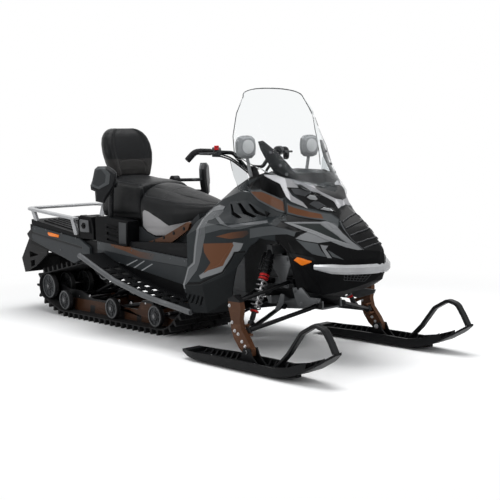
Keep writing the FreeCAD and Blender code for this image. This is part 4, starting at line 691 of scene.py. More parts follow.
# The seats and backrest: foam pads under a stretched, grained vinyl cover, sewn black with grey side inserts.
# Each pad is swelled by a short cloth simulation; sewn creases and piping are put on after it.
def vinyl(name):
    """Black grained vinyl: a fine leather-like pebble of cells, soft creases, and a slight even sheen."""
    look = finish(name, (0.0035, 0.0039, 0.0045), 0.36, grain=0.0016, grain_height=0.25, cloud=5.0,
                  spread=0.2, shine=0.106)
    tree = look.node_tree
    shader = tree.nodes["Principled BSDF"]
    where = tree.nodes["where"].outputs["Object"]
    cells = add_node(tree, "ShaderNodeTexVoronoi", {"Vector": where, "Scale": 420.0},
                     feature="DISTANCE_TO_EDGE")
    raised = ramp_between(tree, cells.outputs["Distance"], 0.0, 0.12)
    pebble = add_node(tree, "ShaderNodeBump", {"Height": raised, "Strength": 0.3, "Distance": 0.0005,
                                               "Normal": tree.nodes["grain"].outputs["Normal"]})
    crease = add_node(tree, "ShaderNodeTexNoise", {"Vector": where, "Scale": 14.0, "Detail": 3.0,
                                                   "Distortion": 0.8})
    folds = add_node(tree, "ShaderNodeBump", {"Height": crease.outputs["Fac"], "Strength": 0.25,
                                              "Distance": 0.004, "Normal": pebble.outputs["Normal"]})
    tree.links.new(folds.outputs["Normal"], shader.inputs["Normal"])
    shader.inputs["Sheen Weight"].default_value = 0.02
    shader.inputs["Sheen Roughness"].default_value = 0.5
    return look


def move_out(mesh, lifts):
    """Move each vertex along its normal by its own lift."""
    normals = [vertex.normal.copy() for vertex in mesh.vertices]
    places = [vertex.co + normal * lift for vertex, normal, lift in zip(mesh.vertices, normals, lifts)]
    mesh.vertices.foreach_set("co", [value for place in places for value in place])
    mesh.update()


def swelled_places(pad, is_held):
    """Where a short cloth simulation under pressure takes each vertex of a pad, whose foot is held."""
    last_step = 20
    held = pad.vertex_groups.new(name="held")
    held.add([i for i, vertex in enumerate(pad.data.vertices) if is_held(vertex.co)], 1.0, "REPLACE")
    cloth = pad.modifiers.new("swell", "CLOTH")
    cloth.settings.quality = 4
    cloth.settings.mass = 0.4
    cloth.settings.tension_stiffness = 18.0
    cloth.settings.compression_stiffness = 18.0
    cloth.settings.bending_stiffness = 2.0
    cloth.settings.use_pressure = True
    cloth.settings.uniform_pressure_force = 4.0
    cloth.settings.vertex_group_mass = "held"
    cloth.settings.effector_weights.gravity = 0.0
    cloth.point_cache.frame_start = 1
    cloth.point_cache.frame_end = last_step
    for step in range(1, last_step + 1):
        bpy.context.scene.frame_set(step)
    swelled = pad.evaluated_get(bpy.context.evaluated_depsgraph_get()).data
    places = [vertex.co.copy() for vertex in swelled.vertices]
    pad.modifiers.clear()
    bpy.context.scene.frame_set(1)
    return places


def evened(mesh, values, times):
    """Values on a mesh's vertices, each drawn towards its neighbours' mean a number of times."""
    around = [[] for _ in values]
    for edge in mesh.edges:
        a, b = edge.vertices
        around[a].append(b)
        around[b].append(a)
    for _ in range(times):
        values = [0.4 * value + 0.6 * sum(values[k] for k in near) / max(1, len(near))
                  for value, near in zip(values, around)]
    return values


def stuffed(name, node, look, cell, cap, is_held, shrink=0.005):
    """The pad's CAD skin, drawn in, remeshed, swelled by cloth up to the cap, and evened; its foot stays."""
    work = bmesh.new()
    work.from_mesh(nodes[node].data)
    bmesh.ops.remove_doubles(work, verts=work.verts, dist=0.0002)
    bmesh.ops.recalc_face_normals(work, faces=work.faces)
    pad = bpy.data.objects.new(name, as_mesh(work, name))
    bpy.context.scene.collection.objects.link(pad)
    remesh = pad.modifiers.new("cells", "REMESH")
    remesh.mode = "VOXEL"
    remesh.voxel_size = cell
    pad.data = baked(pad)
    move_out(pad.data, [-shrink] * len(pad.data.vertices))
    ease = pad.modifiers.new("ease", "SMOOTH")
    ease.iterations = 6
    ease.factor = 0.5
    mesh = pad.data = baked(pad)
    rest = [vertex.co.copy() for vertex in mesh.vertices]
    lifts = [shrink] * len(rest)
    places = swelled_places(pad, is_held)
    facings = [vertex.normal.copy() for vertex in mesh.vertices]
    lifts = [max(shrink * 0.8, min(cap, (end - start).dot(facing)))
             for start, end, facing in zip(rest, places, facings)]
    lifts = evened(mesh, lifts, 12)
    move_out(mesh, [0.0 if is_held(co) else lift for co, lift in zip(rest, lifts)])
    ease = pad.modifiers.new("ease", "SMOOTH")
    ease.iterations = 3
    finer = pad.modifiers.new("finer", "SUBSURF")
    finer.levels = 1
    finer.render_levels = 1
    mesh = baked(pad)
    bpy.data.objects.remove(pad)
    piece = keep(name, mesh, look, "chassis", 0)
    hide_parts(node)
    return piece


def press_groove(piece, lines, width, depth):
    """Press sewn creases into a pad: points near a line sink towards the pad's inside."""
    along = []
    for line in lines:
        for a, b in zip(line, line[1:]):
            steps = max(2, int((b - a).length / 0.004))
            along += [a + (b - a) * k / steps for k in range(steps + 1)]
    near = KDTree(len(along))
    for i, point in enumerate(along):
        near.insert(point, i)
    near.balance()
    sinks = []
    for vertex in piece.data.vertices:
        distance = near.find(vertex.co)[2]
        sinks.append(-depth * math.exp(-(distance / width) ** 2) if distance < width * 2.5 else 0.0)
    move_out(piece.data, sinks)


def other_side(points):
    """A line's mirror image on the machine's other side."""
    return [Vector((p.x, -p.y, p.z)) for p in points]


def right_across(points):
    """A line that ends at the machine's middle, carried on to the other side."""
    return points + other_side(points)[::-1][1:]


def drawn_on(piece, points, lift):
    """Points laid on a piece's skin, a little above it."""
    skin = BVHTree.FromPolygons([v.co for v in piece.data.vertices],
                                [p.vertices for p in piece.data.polygons])
    dense = []
    for a, b in zip(points, points[1:]):
        steps = max(1, int((b - a).length / 0.012))
        dense += [a + (b - a) * k / steps for k in range(steps)]
    laid = []
    for point in dense + [points[-1]]:
        place, normal, _, _ = skin.find_nearest(point)
        laid.append(place + normal * lift)
    return laid


insert_grey = (0.29, 0.285, 0.29)
seat_base_paint = finish("seat_base_moulding", (0.024, 0.026, 0.028), 0.42, shine=0.076)
wear("seat_base", seat_base_paint, 30.0, 0.003)
driver_vinyl = vinyl("driver_seat_vinyl")
paint_zone(driver_vinyl, [[(-224, 752), (-205, 762), (-165, 754), (-47, 708), (24, 672), (121, 690),
                           (300, 734), (252, 683), (113, 633), (11, 590), (-142, 612), (-240, 645)]],
           insert_grey)
driver = stuffed("driver_cushion", "driver_seat", driver_vinyl, 0.008, 0.010,
                 lambda co: co.z < 0.66 + 0.25 * max(0.0, co.x))
passenger = stuffed("passenger_cushion", "passenger_seat", vinyl("seat_vinyl"), 0.009, 0.009,
                    lambda co: co.z < 0.74)
back_vinyl = vinyl("backrest_vinyl")
paint_zone(back_vinyl, [[(-560, 940), (-560, 1078), (-660, 1078), (-640, 940)]], (0.0175, 0.0168, 0.0163))
back = stuffed("backrest_pad", "backrest", back_vinyl, 0.007, 0.009, lambda co: co.x < -0.79)
side_crease = [mm(-262, -170, 868), mm(-222, -186, 850), mm(-120, -182, 842), mm(-30, -178, 830),
               mm(60, -164, 816), mm(150, -132, 805), mm(230, -94, 800), mm(300, -40, 798)]
top_crease = [mm(-262, -112, 905), mm(-120, -108, 893), mm(60, -92, 850), mm(230, -52, 812),
              mm(300, -20, 802)]
hump = [mm(-70, -170, 838), mm(-66, -120, 872), mm(-62, -60, 888), mm(-60, 0, 893)]
rear_crease = [mm(-700, -170, 940), mm(-560, -172, 940), mm(-420, -172, 930), mm(-290, -170, 915),
               mm(-272, -168, 860), mm(-268, -160, 740)]
rear_hump = [mm(-560, -190, 905), mm(-560, -150, 965), mm(-560, 0, 976)]
bolster = [mm(-640, -118, 968), mm(-655, -128, 1040), mm(-680, -134, 1130), mm(-700, -128, 1210),
           mm(-715, -98, 1262), mm(-722, 0, 1276)]
foot_panel = [mm(-610, -125, 985), mm(-622, -85, 1068), mm(-628, 0, 1075)]
for line in (side_crease, top_crease):
    press_groove(driver, [line, other_side(line)], 0.006, 0.005)
press_groove(driver, [right_across(hump)], 0.006, 0.004)
press_groove(passenger, [rear_crease, other_side(rear_crease), right_across(rear_hump)], 0.006, 0.005)
press_groove(back, [right_across(bolster)], 0.008, 0.007)
press_groove(back, [right_across(foot_panel)], 0.005, 0.004)
piping = finish("vinyl_piping", (0.022, 0.023, 0.025), 0.32, coat=0.014)
work = bmesh.new()
for pad, line in ((driver, side_crease), (passenger, rear_crease)):
    for points in (line, other_side(line)):
        round_bar(work, drawn_on(pad, points, 0.0005), 0.0028, 6)
keep("seat_piping", work, piping, "chassis")

# The passenger's grips: a bent steel loop each side with a moulded hand guard clipped in front of it.
# The guards are grained plastic with a paler sculpted face; the backrest stands on a welded black post.
guard_paint = finish("guard_moulding", (0.012, 0.0125, 0.0135), 0.4, coat=0.02, shine=0.11)
paint_zone(guard_paint, [[(-400, 1028), (-338, 1034), (-312, 990), (-318, 930), (-360, 898), (-404, 930)]],
           (0.060, 0.064, 0.067), 0.003)
paint_zone(guard_paint, [[(-390, 1014), (-350, 1020), (-330, 985), (-334, 938), (-362, 914), (-392, 938)]],
           (0.032, 0.034, 0.036), -0.002)
wear("passenger_grips", guard_paint, 30.0, 0.003)
wear("backrest_frame", panel_black, 30.0, 0.003)

# The body: injection-moulded panels over the engine, clipped and screwed together, in satin graphite.
# Copper stripes and pale-bordered arrows are painted or moulded in; the grey facets are a painted highlight
# and the darker lower side is painted shade; the console is plain black.
wear("console", panel_black, 30.0, 0.003)
copper_brown = (0.102, 0.043, 0.022)
soft_grey = (0.165, 0.17, 0.175)
# painted highlight on body facets that face the light
painted_highlight_grey = (0.062, 0.067, 0.070)
deep_black = (0.0025, 0.0027, 0.003)
# painted shade for the lower side and for the lamp panel behind the bumper
shade = (0.009, 0.0105, 0.0115)
body_paint = finish("graphite_panel", (0.0165, 0.0195, 0.0212), 0.28, coat=0.007, cloud=5.0, shine=0.067)
for colour, relief, *outlines in (
        # the nose is black below the hood, which has copper stripes with a grey margin, a painted highlight,
        # over a dark strip
        (deep_black, 0.0, [(1096, 744), (1262, 742), (1300, 735), (1500, 640), (1560, 600), (1560, 470),
                           (1096, 470)]),
        (deep_black, -0.002, [(835, 920), (880, 950), (955, 992), (1000, 978), (1036, 938), (1060, 868),
                              (1044, 846), (946, 887)]),
        (painted_highlight_grey, 0.002, [(868, 903), (943, 903), (1017, 874), (1074, 848), (1098, 782), (1047, 792),
                             (996, 812), (926, 848)]),
        (copper_brown, 0.0, [(882, 893), (943, 891), (1017, 863), (1066, 840), (1086, 792), (1047, 802),
                             (996, 822), (930, 854)]),
        (painted_highlight_grey, 0.002, [(1089, 834), (1151, 808), (1200, 790), (1240, 780), (1275, 772), (1322, 744),
                             (1338, 700), (1322, 704), (1276, 744), (1207, 752), (1155, 765), (1104, 781)]),
        (copper_brown, 0.0, [(1097, 824), (1151, 800), (1200, 784), (1240, 774), (1262, 752), (1207, 759),
                             (1155, 772), (1110, 787)]),
        (deep_black, -0.003, [(1093, 779), (1157, 763), (1271, 741), (1297, 733), (1250, 735), (1130, 742)]),
        (deep_black, -0.003, [(1064, 850), (1073, 850), (1098, 785), (1088, 755), (1080, 757), (1088, 785)]),
        # the nose: a pale arrow with a dark infill, and the facets below it, the mid grey ones a painted
        # highlight
        (soft_grey, 0.003, [(1118, 739), (1180, 738), (1258, 736), (1278, 740), (1309, 725), (1392, 666),
                            (1481, 600), (1460, 598), (1406, 613), (1340, 643), (1275, 674), (1202, 704)]),
        ((0.016, 0.019, 0.019), -0.003, [(1165, 729), (1262, 727), (1314, 694), (1412, 631), (1356, 653),
                                         (1275, 688), (1211, 713)]),
        (soft_grey, 0.002, [(1203, 658), (1238, 690), (1303, 664), (1352, 643), (1298, 635)]),
        (painted_highlight_grey, 0.002, [(1206, 652), (1299, 630), (1352, 566), (1296, 583), (1249, 622)]),
        (soft_grey, 0.002, [(1312, 625), (1340, 619), (1337, 603), (1368, 560), (1356, 561), (1326, 606)]),
        (painted_highlight_grey, 0.001, [(1346, 598), (1412, 551), (1369, 566)]),
        # the wing behind the nose, its copper sweep and the shoulder over the arch; the wing's grey facets
        # are a painted highlight
        (painted_highlight_grey, 0.002, [(943, 702), (1005, 712), (1081, 720), (1133, 708), (1196, 690), (1194, 668),
                             (1156, 679), (1095, 676), (1035, 669), (940, 653)]),
        (painted_highlight_grey, 0.002, [(577, 657), (586, 721), (759, 713), (831, 705), (1015, 730), (882, 699),
                             (759, 695)]),
        ((0.105, 0.11, 0.115), 0.003, [(629, 776), (747, 736), (831, 721), (1012, 746), (1040, 736),
                                       (831, 706), (742, 724), (627, 763)]),
        # the side: a copper patch with a pale border, a black step line below it, and painted shade darkening
        # the lower side
        (soft_grey, 0.002, [(842, 630), (900, 624), (880, 588), (838, 564), (782, 472), (634, 424),
                            (612, 440), (681, 476), (754, 506), (826, 594)]),
        (copper_brown, 0.0, [(613, 612), (838, 626), (846, 612), (781, 503), (680, 472), (650, 452),
                             (690, 516), (629, 568)]),
        (deep_black, -0.003, [(540, 400), (635, 408), (774, 471), (812, 518), (846, 578), (905, 584),
                              (905, 576), (852, 570), (820, 512), (780, 463), (640, 396), (540, 386)]),
        (shade, 0.0, [(540, 190), (540, 386), (640, 396), (780, 463), (820, 512), (852, 570), (905, 576),
                      (905, 190)]),
        # the black surround of the side window
        (deep_black, 0.0, [(835, 925), (880, 950), (955, 992), (1000, 978), (1032, 945), (1040, 905),
                           (1000, 892), (943, 906), (880, 910)]),
        # the sculpted rear edge: a broad grey band with a pale rim
        ((0.085, 0.089, 0.093), 0.003, [(524, 742), (600, 745), (625, 660), (606, 560), (580, 470),
                                        (548, 400), (526, 365), (500, 474), (530, 505), (532, 600),
                                        (542, 670)],
         [(690, 815), (560, 800), (524, 742), (600, 735), (640, 742), (705, 775)]),
        (soft_grey, 0.004, [(700, 812), (694, 796), (580, 783), (545, 742), (562, 673), (551, 605),
                            (547, 498), (512, 468), (538, 365), (526, 365), (500, 474), (530, 505),
                            (532, 600), (542, 670), (524, 742), (560, 800), (640, 818)]),
        # the lamp panel behind the bumper, darkened with painted shade
        (shade, -0.002, [(1143, 582), (1296, 567), (1336, 515), (1164, 483), (1140, 532)])):
    paint_zone(body_paint, outlines, colour, relief)
paint_zone(body_paint, [[(715, 655), (832, 681), (924, 693), (935, 678), (900, 656), (822, 647)]],
           copper_brown, fade=(960, 800))
for node in ("hood", "nose_cone", "side_panels"):
    wear(node, body_paint, 24.0)
vent_paint = finish("vent_panel", (0.024, 0.027, 0.029), 0.3, coat=0.007, shine=0.076)
wear("side_vents", vent_paint, 24.0)
for node in ("front_pan", "belly_pan"):
    wear(node, panel_black, 24.0)


def skin_of(*names):
    """The outer faces of some CAD nodes, ready for laying small pieces on them."""
    corners, faces = [], []
    for name in names:
        mesh = nodes[name].data
        start = len(corners)
        corners += [v.co.copy() for v in mesh.vertices]
        faces += [[start + i for i in p.vertices] for p in mesh.polygons]
    return BVHTree.FromPolygons(corners, faces)


def laid_patch(work, skin, outline, out, thick, edge=0.003, along_x=False):
    """A thin moulded plate laid on the body: its convex outline is given in side view (x, z), or in front
    view (y, z) where along_x is set, and pressed on to the skin from that side."""
    way = Vector((-1, 0, 0)) if along_x else Vector((0, -out, 0))
    border = []
    for (a0, b0), (a1, b1) in zip(outline, outline[1:] + outline[:1]):
        steps = max(1, int(math.hypot(a1 - a0, b1 - b0) / 8))
        for k in range(steps):
            border.append(Vector((a0 + (a1 - a0) * k / steps, b0 + (b1 - b0) * k / steps)) / 1000)
    middle = sum(border, Vector((0.0, 0.0))) / len(border)
    size = sum((p - middle).length for p in border) / len(border)

    def laid(flat, lift):
        """A vertex on the skin under a point of the flat outline, lifted back by some thickness."""
        start = Vector((2.2, flat.x, flat.y)) if along_x else Vector((flat.x, out * 0.9, flat.y))
        place = skin.ray_cast(start, way)[0]
        if place is None:
            place = skin.find_nearest(start + way * 0.6)[0]
        return work.verts.new(place - way * lift)

    rings = []
    for share, lift in ((1.0, -0.002), (1.0, thick * 0.5), (1.0 - edge * 0.4 / size, thick * 0.88),
                        (1.0 - edge / size, thick), (0.7, thick), (0.42, thick), (0.2, thick)):
        rings.append([laid(middle + (p - middle) * share, lift) for p in border])
    top = laid(middle, thick)
    bridge(work, rings, foot=False, top=False)
    for k in range(len(border)):
        work.faces.new((rings[-1][k], rings[-1][(k + 1) % len(border)], top))


work = bmesh.new()
side_plates(work, [(690, 745), (700, 838), (860, 846), (1000, 780), (975, 742), (820, 722)], 0.255, 0.012)
keep("vent_backs", work, panel_black, "chassis")
body_skin = skin_of("hood", "nose_cone", "side_panels", "front_pan", "headlights", "nose_grille",
                    "side_vents")
reflector_outline = [(1163, 543), (1201, 562), (1240, 557), (1292, 546), (1288, 538), (1215, 517)]
work = bmesh.new()
for out in (-1, 1):
    laid_patch(work, body_skin, reflector_outline, out, 0.004)
keep("front_reflectors", work, reflector, "chassis")

# The headlamps and the grille between them: gloss-black mouldings let into the hood behind a silver trim.
# Each lamp holds two lenses in dark facets; curved slats cross the grille in front of the air intake.
gloss_black = finish("gloss_black_moulding", (0.003, 0.0032, 0.0036), 0.24, grain_height=0.02, coat=0.07,
                     spread=0.3)
lamp_facet = finish("dark_lamp_facet", (0.045, 0.047, 0.05), 0.3, metal=0.5, grain_height=0.02, coat=0.056)
lens_look = finish("lamp_lens", (0.20, 0.205, 0.21), 0.2, metal=0.6, grain=0.004, grain_height=0.5,
                   coat=0.112)
for node in ("headlights", "nose_grille"):
    wear(node, gloss_black, 24.0)
window_black = finish("side_window_black", (0.0025, 0.0026, 0.003), 0.4, grain_height=0.03, shine=0.04)
wear("side_windows", window_black, 24.0, 0.001)
trim_silver = finish("trim_paint", (0.25, 0.25, 0.26), 0.3, metal=0.45, grain_height=0.05, coat=0.036,
                     rub=0.1)
paint_zone(trim_silver, [[(1062, 963), (1152, 928), (1236, 872), (1290, 836), (1340, 806), (1420, 800),
                          (1420, 1100), (900, 1100), (900, 990), (1000, 982)]], (0.005, 0.0052, 0.006))
wear("nose_trim", trim_silver, 24.0, 0.001)
wear("front_bumper", silver, 24.0, 0.003)
facets, rims, lenses = bmesh.new(), bmesh.new(), bmesh.new()
for target, thick, outline in (
        (facets, 0.002, [(1092, 906), (1136, 904), (1174, 888), (1160, 862), (1112, 878)]),
        (facets, 0.002, [(1176, 826), (1196, 846), (1248, 812), (1262, 792), (1214, 800)]),
        (rims, 0.0045, [(1150, 862), (1164, 880), (1196, 872), (1216, 850), (1208, 838), (1172, 844)]),
        (rims, 0.0045, [(1216, 798), (1236, 814), (1272, 804), (1296, 784), (1262, 786)]),
        (lenses, 0.0065, [(1160, 861), (1169, 873), (1192, 867), (1207, 851), (1201, 844), (1176, 849)]),
        (lenses, 0.0065, [(1226, 799), (1240, 809), (1268, 801), (1286, 788), (1262, 790)])):
    for out in (-1, 1):
        laid_patch(target, body_skin, outline, out, thick)
keep("lamp_facets", facets, lamp_facet, "chassis")
keep("lamp_rims", rims, gloss_black, "chassis")
keep("lamp_lenses", lenses, lens_look, "chassis")


def on_skin(skin, points, lift):
    """Points moved on to the nearest place of a skin and lifted off it towards the front."""
    laid = []
    for point in points:
        place, normal, _, _ = skin.find_nearest(point)
        laid.append(place + (-normal if normal.x < 0 else normal) * lift)
    return laid


slat_grey = finish("slat_plastic", (0.025, 0.026, 0.029), 0.35, coat=0.042)
slat_stand_off = 12
work = bmesh.new()
for (edge_x, edge_y, edge_z), (mid_x, mid_z) in (((1338, 76, 738), (1362, 786)),
                                                 ((1368, 84, 706), (1410, 750)),
                                                 ((1402, 87, 672), (1458, 711)),
                                                 ((1440, 82, 636), (1503, 668)),
                                                 ((1472, 66, 608), (1528, 640))):
    points = []
    for share in [k / 10 for k in range(-10, 11)]:
        bow = share * share
        points.append(mm(mid_x + (edge_x - mid_x) * bow + slat_stand_off, edge_y * share,
                         mid_z + (edge_z - mid_z) * bow))
    round_bar(work, on_skin(body_skin, points, 0.0015), 0.0045, 8)
keep("grille_slats", work, slat_grey, "chassis")


def wire_on_body(work, points, steps, radius, count):
    """A thin bar laid on the body through the points, each run cut into steps so that it follows the skin."""
    dense = [a + (b - a) * k / steps for a, b in zip(points, points[1:]) for k in range(steps)] + [points[-1]]
    round_bar(work, on_skin(body_skin, dense, 0.001), radius, count)


mesh_wire = 0.0016
work = bmesh.new()
for out in (-1, 1):
    wire_on_body(work, [mm(1334, out * 84, 742), mm(1372, out * 92, 702), mm(1424, out * 93, 652),
                        mm(1484, out * 66, 598)], 6, 0.003, 8)
    for down in [row / 4 for row in range(5)]:
        outer = mm(1444 - 47 * down, out * (171 - 48 * down), 489 - 44 * down)
        inner = mm(1533 - 54 * down, out * 56, 484 - 44 * down)
        wire_on_body(work, [outer, inner], 8, mesh_wire, 6)
    for across in [column / 7 for column in range(8)]:
        upper = mm(1444 + 89 * across, out * (171 - 115 * across), 489 - 5 * across)
        lower = mm(1397 + 82 * across, out * (123 - 66 * across), 445 - 5 * across)
        wire_on_body(work, [upper, lower], 4, mesh_wire, 6)
keep("grille_rim", work, lamp_facet, "chassis")

# The windshield: a tall clear polycarbonate sheet with a dark ground edge, bent round the bar.
# A smoked moulding with two horns carries it from behind on rubber-cushioned screws.
clear = bpy.data.materials.new("clear_sheet")
clear.use_nodes = True
tree = clear.node_tree
shader = tree.nodes["Principled BSDF"]
shader.inputs["Transmission Weight"].default_value = 1.0
shader.inputs["IOR"].default_value = 1.08
shader.inputs["Base Color"].default_value = (0.93, 0.945, 0.95, 1.0)
where = add_node(tree, "ShaderNodeTexCoord").outputs["Object"]
film = add_node(tree, "ShaderNodeTexNoise", {"Vector": where, "Scale": 5.0}).outputs["Fac"]
haze = add_node(tree, "ShaderNodeMapRange", {"Value": film, "To Min": 0.01, "To Max": 0.05})
tree.links.new(haze.outputs["Result"], shader.inputs["Roughness"])
wear("windshield", clear, 40.0)
tinted = clear.copy()
tinted.name = "tinted_sheet"
tinted.node_tree.nodes["Principled BSDF"].inputs["Base Color"].default_value = (0.66, 0.68, 0.69, 1.0)
wear("wind_deflectors", tinted, 40.0)
smoke = finish("smoked_moulding", (0.009, 0.0095, 0.0105), 0.3, coat=0.042, spread=0.1)
wear("windshield_frame", smoke, 30.0, 0.001)
edge_black = finish("sheet_edge", (0.05, 0.052, 0.055), 0.3, coat=0.028)
# each row holds the sheet's middle and edge x, its half width, and its middle and edge z
windshield_rows = ((757, 775, 224, 1449, 1401), (792, 786, 284, 1390, 1310), (878, 785, 312, 1270, 1190),
                   (968, 800, 318, 1140, 1093), (1055, 856, 266, 1030, 1045), (1145, 910, 216, 945, 1003),
                   (1242, 1062, 158, 852, 945))


def on_windshield(row, share, back=0.0):
    """A point of the sheet by row number, which may lie between rows, and share of the half width."""
    first = min(int(row), len(windshield_rows) - 2)
    centre_x, edge_x, half, centre_z, edge_z = [
        a + (row - first) * (b - a) for a, b in zip(windshield_rows[first], windshield_rows[first + 1])]
    bend = abs(share) ** 2.2
    return mm(centre_x + (edge_x - centre_x) * bend - back, half * math.sin(share * math.pi / 2),
              centre_z + (edge_z - centre_z) * bend - back)


edge_inset = 2.0
rim = [on_windshield(row / 4, -1.0, edge_inset) for row in range(18, -1, -1)]
rim += [on_windshield(0.0, k / 12, edge_inset) for k in range(-11, 12)]
rim += [on_windshield(row / 4, 1.0, edge_inset) for row in range(0, 19)]
work = bmesh.new()
round_bar(work, rim, 0.0026, 8)
keep("windshield_edge", work, edge_black, "chassis")
work = bmesh.new()
for side in (-1, 1):
    for row, share in ((3.35, 0.49), (4.1, 0.52), (4.75, 0.58)):
        down = on_windshield(row + 0.1, side * share) - on_windshield(row - 0.1, side * share)
        across = on_windshield(row, side * share + 0.04) - on_windshield(row, side * share - 0.04)
        facing = down.cross(across).normalized()
        if facing.x < 0:
            facing = -facing
        bolt_head(work, on_windshield(row, side * share) + facing * 0.0005, facing, 0.006, 0.004)
keep("windshield_screws", work, rail_grey, "chassis")

# The mirrors: moulded shells on short stalks, with a paler oval back plate that faces forward; the pale greys
# of shells and plates are painted haze and reflection of the windshield they are seen through.
# A flat silvered glass is glued into each shell and faces the rider.
# the shell's light grey is painted haze and reflection of the windshield it is seen through
mirror_shell = finish("mirror_shell", (0.22, 0.225, 0.23), 0.4, coat=0.014)
wear("mirrors", mirror_shell, 30.0, 0.003)
# the back plate is paler still, a painted reflection
haze_painted_back = finish("back_plate_painted_haze", (0.46, 0.465, 0.47), 0.35, coat=0.05)
glass = finish("mirror_glass", (0.62, 0.64, 0.66), 0.05, metal=1.0, grain_height=0.0)
mirror_skin = skin_of("mirrors")
mirror_out = 238
back_points, glass_points = 14, 36
squareness = 3.2
backs, panes = bmesh.new(), bmesh.new()
for side in (-1, 1):
    oval = []
    for angle in [k * math.tau / back_points for k in range(back_points)]:
        oval.append((side * mirror_out + 41 * math.cos(angle), 1130 + 38 * math.sin(angle)))
    laid_patch(backs, mirror_skin, oval, 1, 0.0012, 0.001, along_x=True)
    rings = []
    for x in (789.6, 791.5):
        row = []
        for angle in [k * math.tau / glass_points for k in range(glass_points)]:
            c, s = math.cos(angle), math.sin(angle)
            reach = (abs(c) ** squareness + abs(s) ** squareness) ** (-1 / squareness)
            row.append(panes.verts.new(mm(x, side * mirror_out + 60 * c * reach, 1128 + 56 * s * reach)))
        rings.append(row)
    bridge(panes, rings)
keep("mirror_backs", backs, haze_painted_back, "chassis")
keep("mirror_glass", panes, glass, "chassis", 40)

# The handlebar: a bent black steel tube clamped on the steering column, with hooked rubber grips.
# Grey switch blocks, levers and a red stop button are clamped inboard of the grips, with their cables.
wear("handlebar", black_steel, 35.0)
wear("steering_column", black_steel, 30.0, 0.001)
grip_rubber = finish("grip_rubber", (0.012, 0.012, 0.0125), 0.66, grain=0.0012, grain_height=0.6)
wear("bar_grips", grip_rubber, 35.0)
wear("bar_controls", grey_panel, 30.0, 0.002)
red_button = finish("red_button", (0.42, 0.012, 0.015), 0.3, coat=0.042)
work = bmesh.new()
for side in (-1, 1):
    hook, elbow = mm(462, side * 374, 1066), mm(496, side * 345, 1112)
    inner = elbow + (mm(587, side * 150, 1100) - elbow) * 0.42
    for start, end, near, far, count in ((hook, elbow, 0.12, 0.7, 5), (elbow, inner, 0.3, 0.96, 12)):
        way = (end - start).normalized()
        for k in range(count):
            middle = start + (end - start) * (near + (far - near) * k / (count - 1))
            round_bar(work, [middle + way * step for step in (-0.0022, -0.0012, 0.0012, 0.0022)],
                      (0.0168, 0.0186, 0.0186, 0.0168), 20)
keep("grip_ribs", work, grip_rubber, "steering")
work = bmesh.new()
round_bar(work, [mm(566, -250, 1118), mm(566, -250, 1134)], 0.013, 20)
round_bar(work, [mm(566, -250, 1134), mm(566, -250, 1139), mm(566, -250, 1142)], (0.014, 0.014, 0.011), 20)
keep("stop_button", work, red_button, "steering")


def eased(points, steps=4):
    """A smooth line through the points, with some steps on each run."""
    line = []
    for i in range(len(points) - 1):
        p0, p1, p2, p3 = points[max(i - 1, 0)], points[i], points[i + 1], points[min(i + 2, len(points) - 1)]
        for t in [k / steps for k in range(steps)]:
            line.append(0.5 * (2 * p1 + (p2 - p0) * t + (2 * p0 - 5 * p1 + 4 * p2 - p3) * t * t
                               + (3 * p1 - p0 - 3 * p2 + p3) * t ** 3))
    return line + [points[-1]]


work = bmesh.new()
for side in (-1, 1):
    for drop in (0, 12):
        route = [mm(560, side * 225, 1095 - drop), mm(585, side * 170, 1074 - drop),
                 mm(606, side * 110, 1030 - drop), mm(622, side * 60, 990 - drop), mm(636, side * 30, 950)]
        round_bar(work, eased(route), 0.0045, 10)
keep("bar_cables", work, grip_rubber, "steering")

# The front suspension: black tube arms and forged brown uprights, bolted to cast grey brackets.
# Each gas damper has a coil spring over a bright rod, with red collars.
cast_grey = finish("cast_bracket", (0.10, 0.104, 0.108), 0.45, metal=0.5, grain=0.0018, grain_height=0.5,
                   rub=0.2)
wear("front_frame", cast_grey, 30.0, 0.002)
wear("engine", cast_grey, 30.0, 0.004)
for node in ("front_arms", "tie_rod_left", "tie_rod_right"):
    wear(node, black_steel, 35.0)
red_paint = finish("red_collar", (0.38, 0.012, 0.012), 0.3, metal=0.2, coat=0.042)
spring_paint = finish("spring_coating", (0.16, 0.16, 0.165), 0.28, metal=0.8, coat=0.028)
paint_zone(spring_paint, [[(850, 443), (1080, 443), (1080, 640), (850, 640)]], (0.010, 0.0103, 0.011))
damper_black = finish("damper_body", (0.014, 0.0145, 0.016), 0.26, metal=0.4, coat=0.042)
coil_radius, coil_wire, steps_a_turn = 0.0265, 0.0043, 22
coils, bodies, collars, rods = bmesh.new(), bmesh.new(), bmesh.new(), bmesh.new()
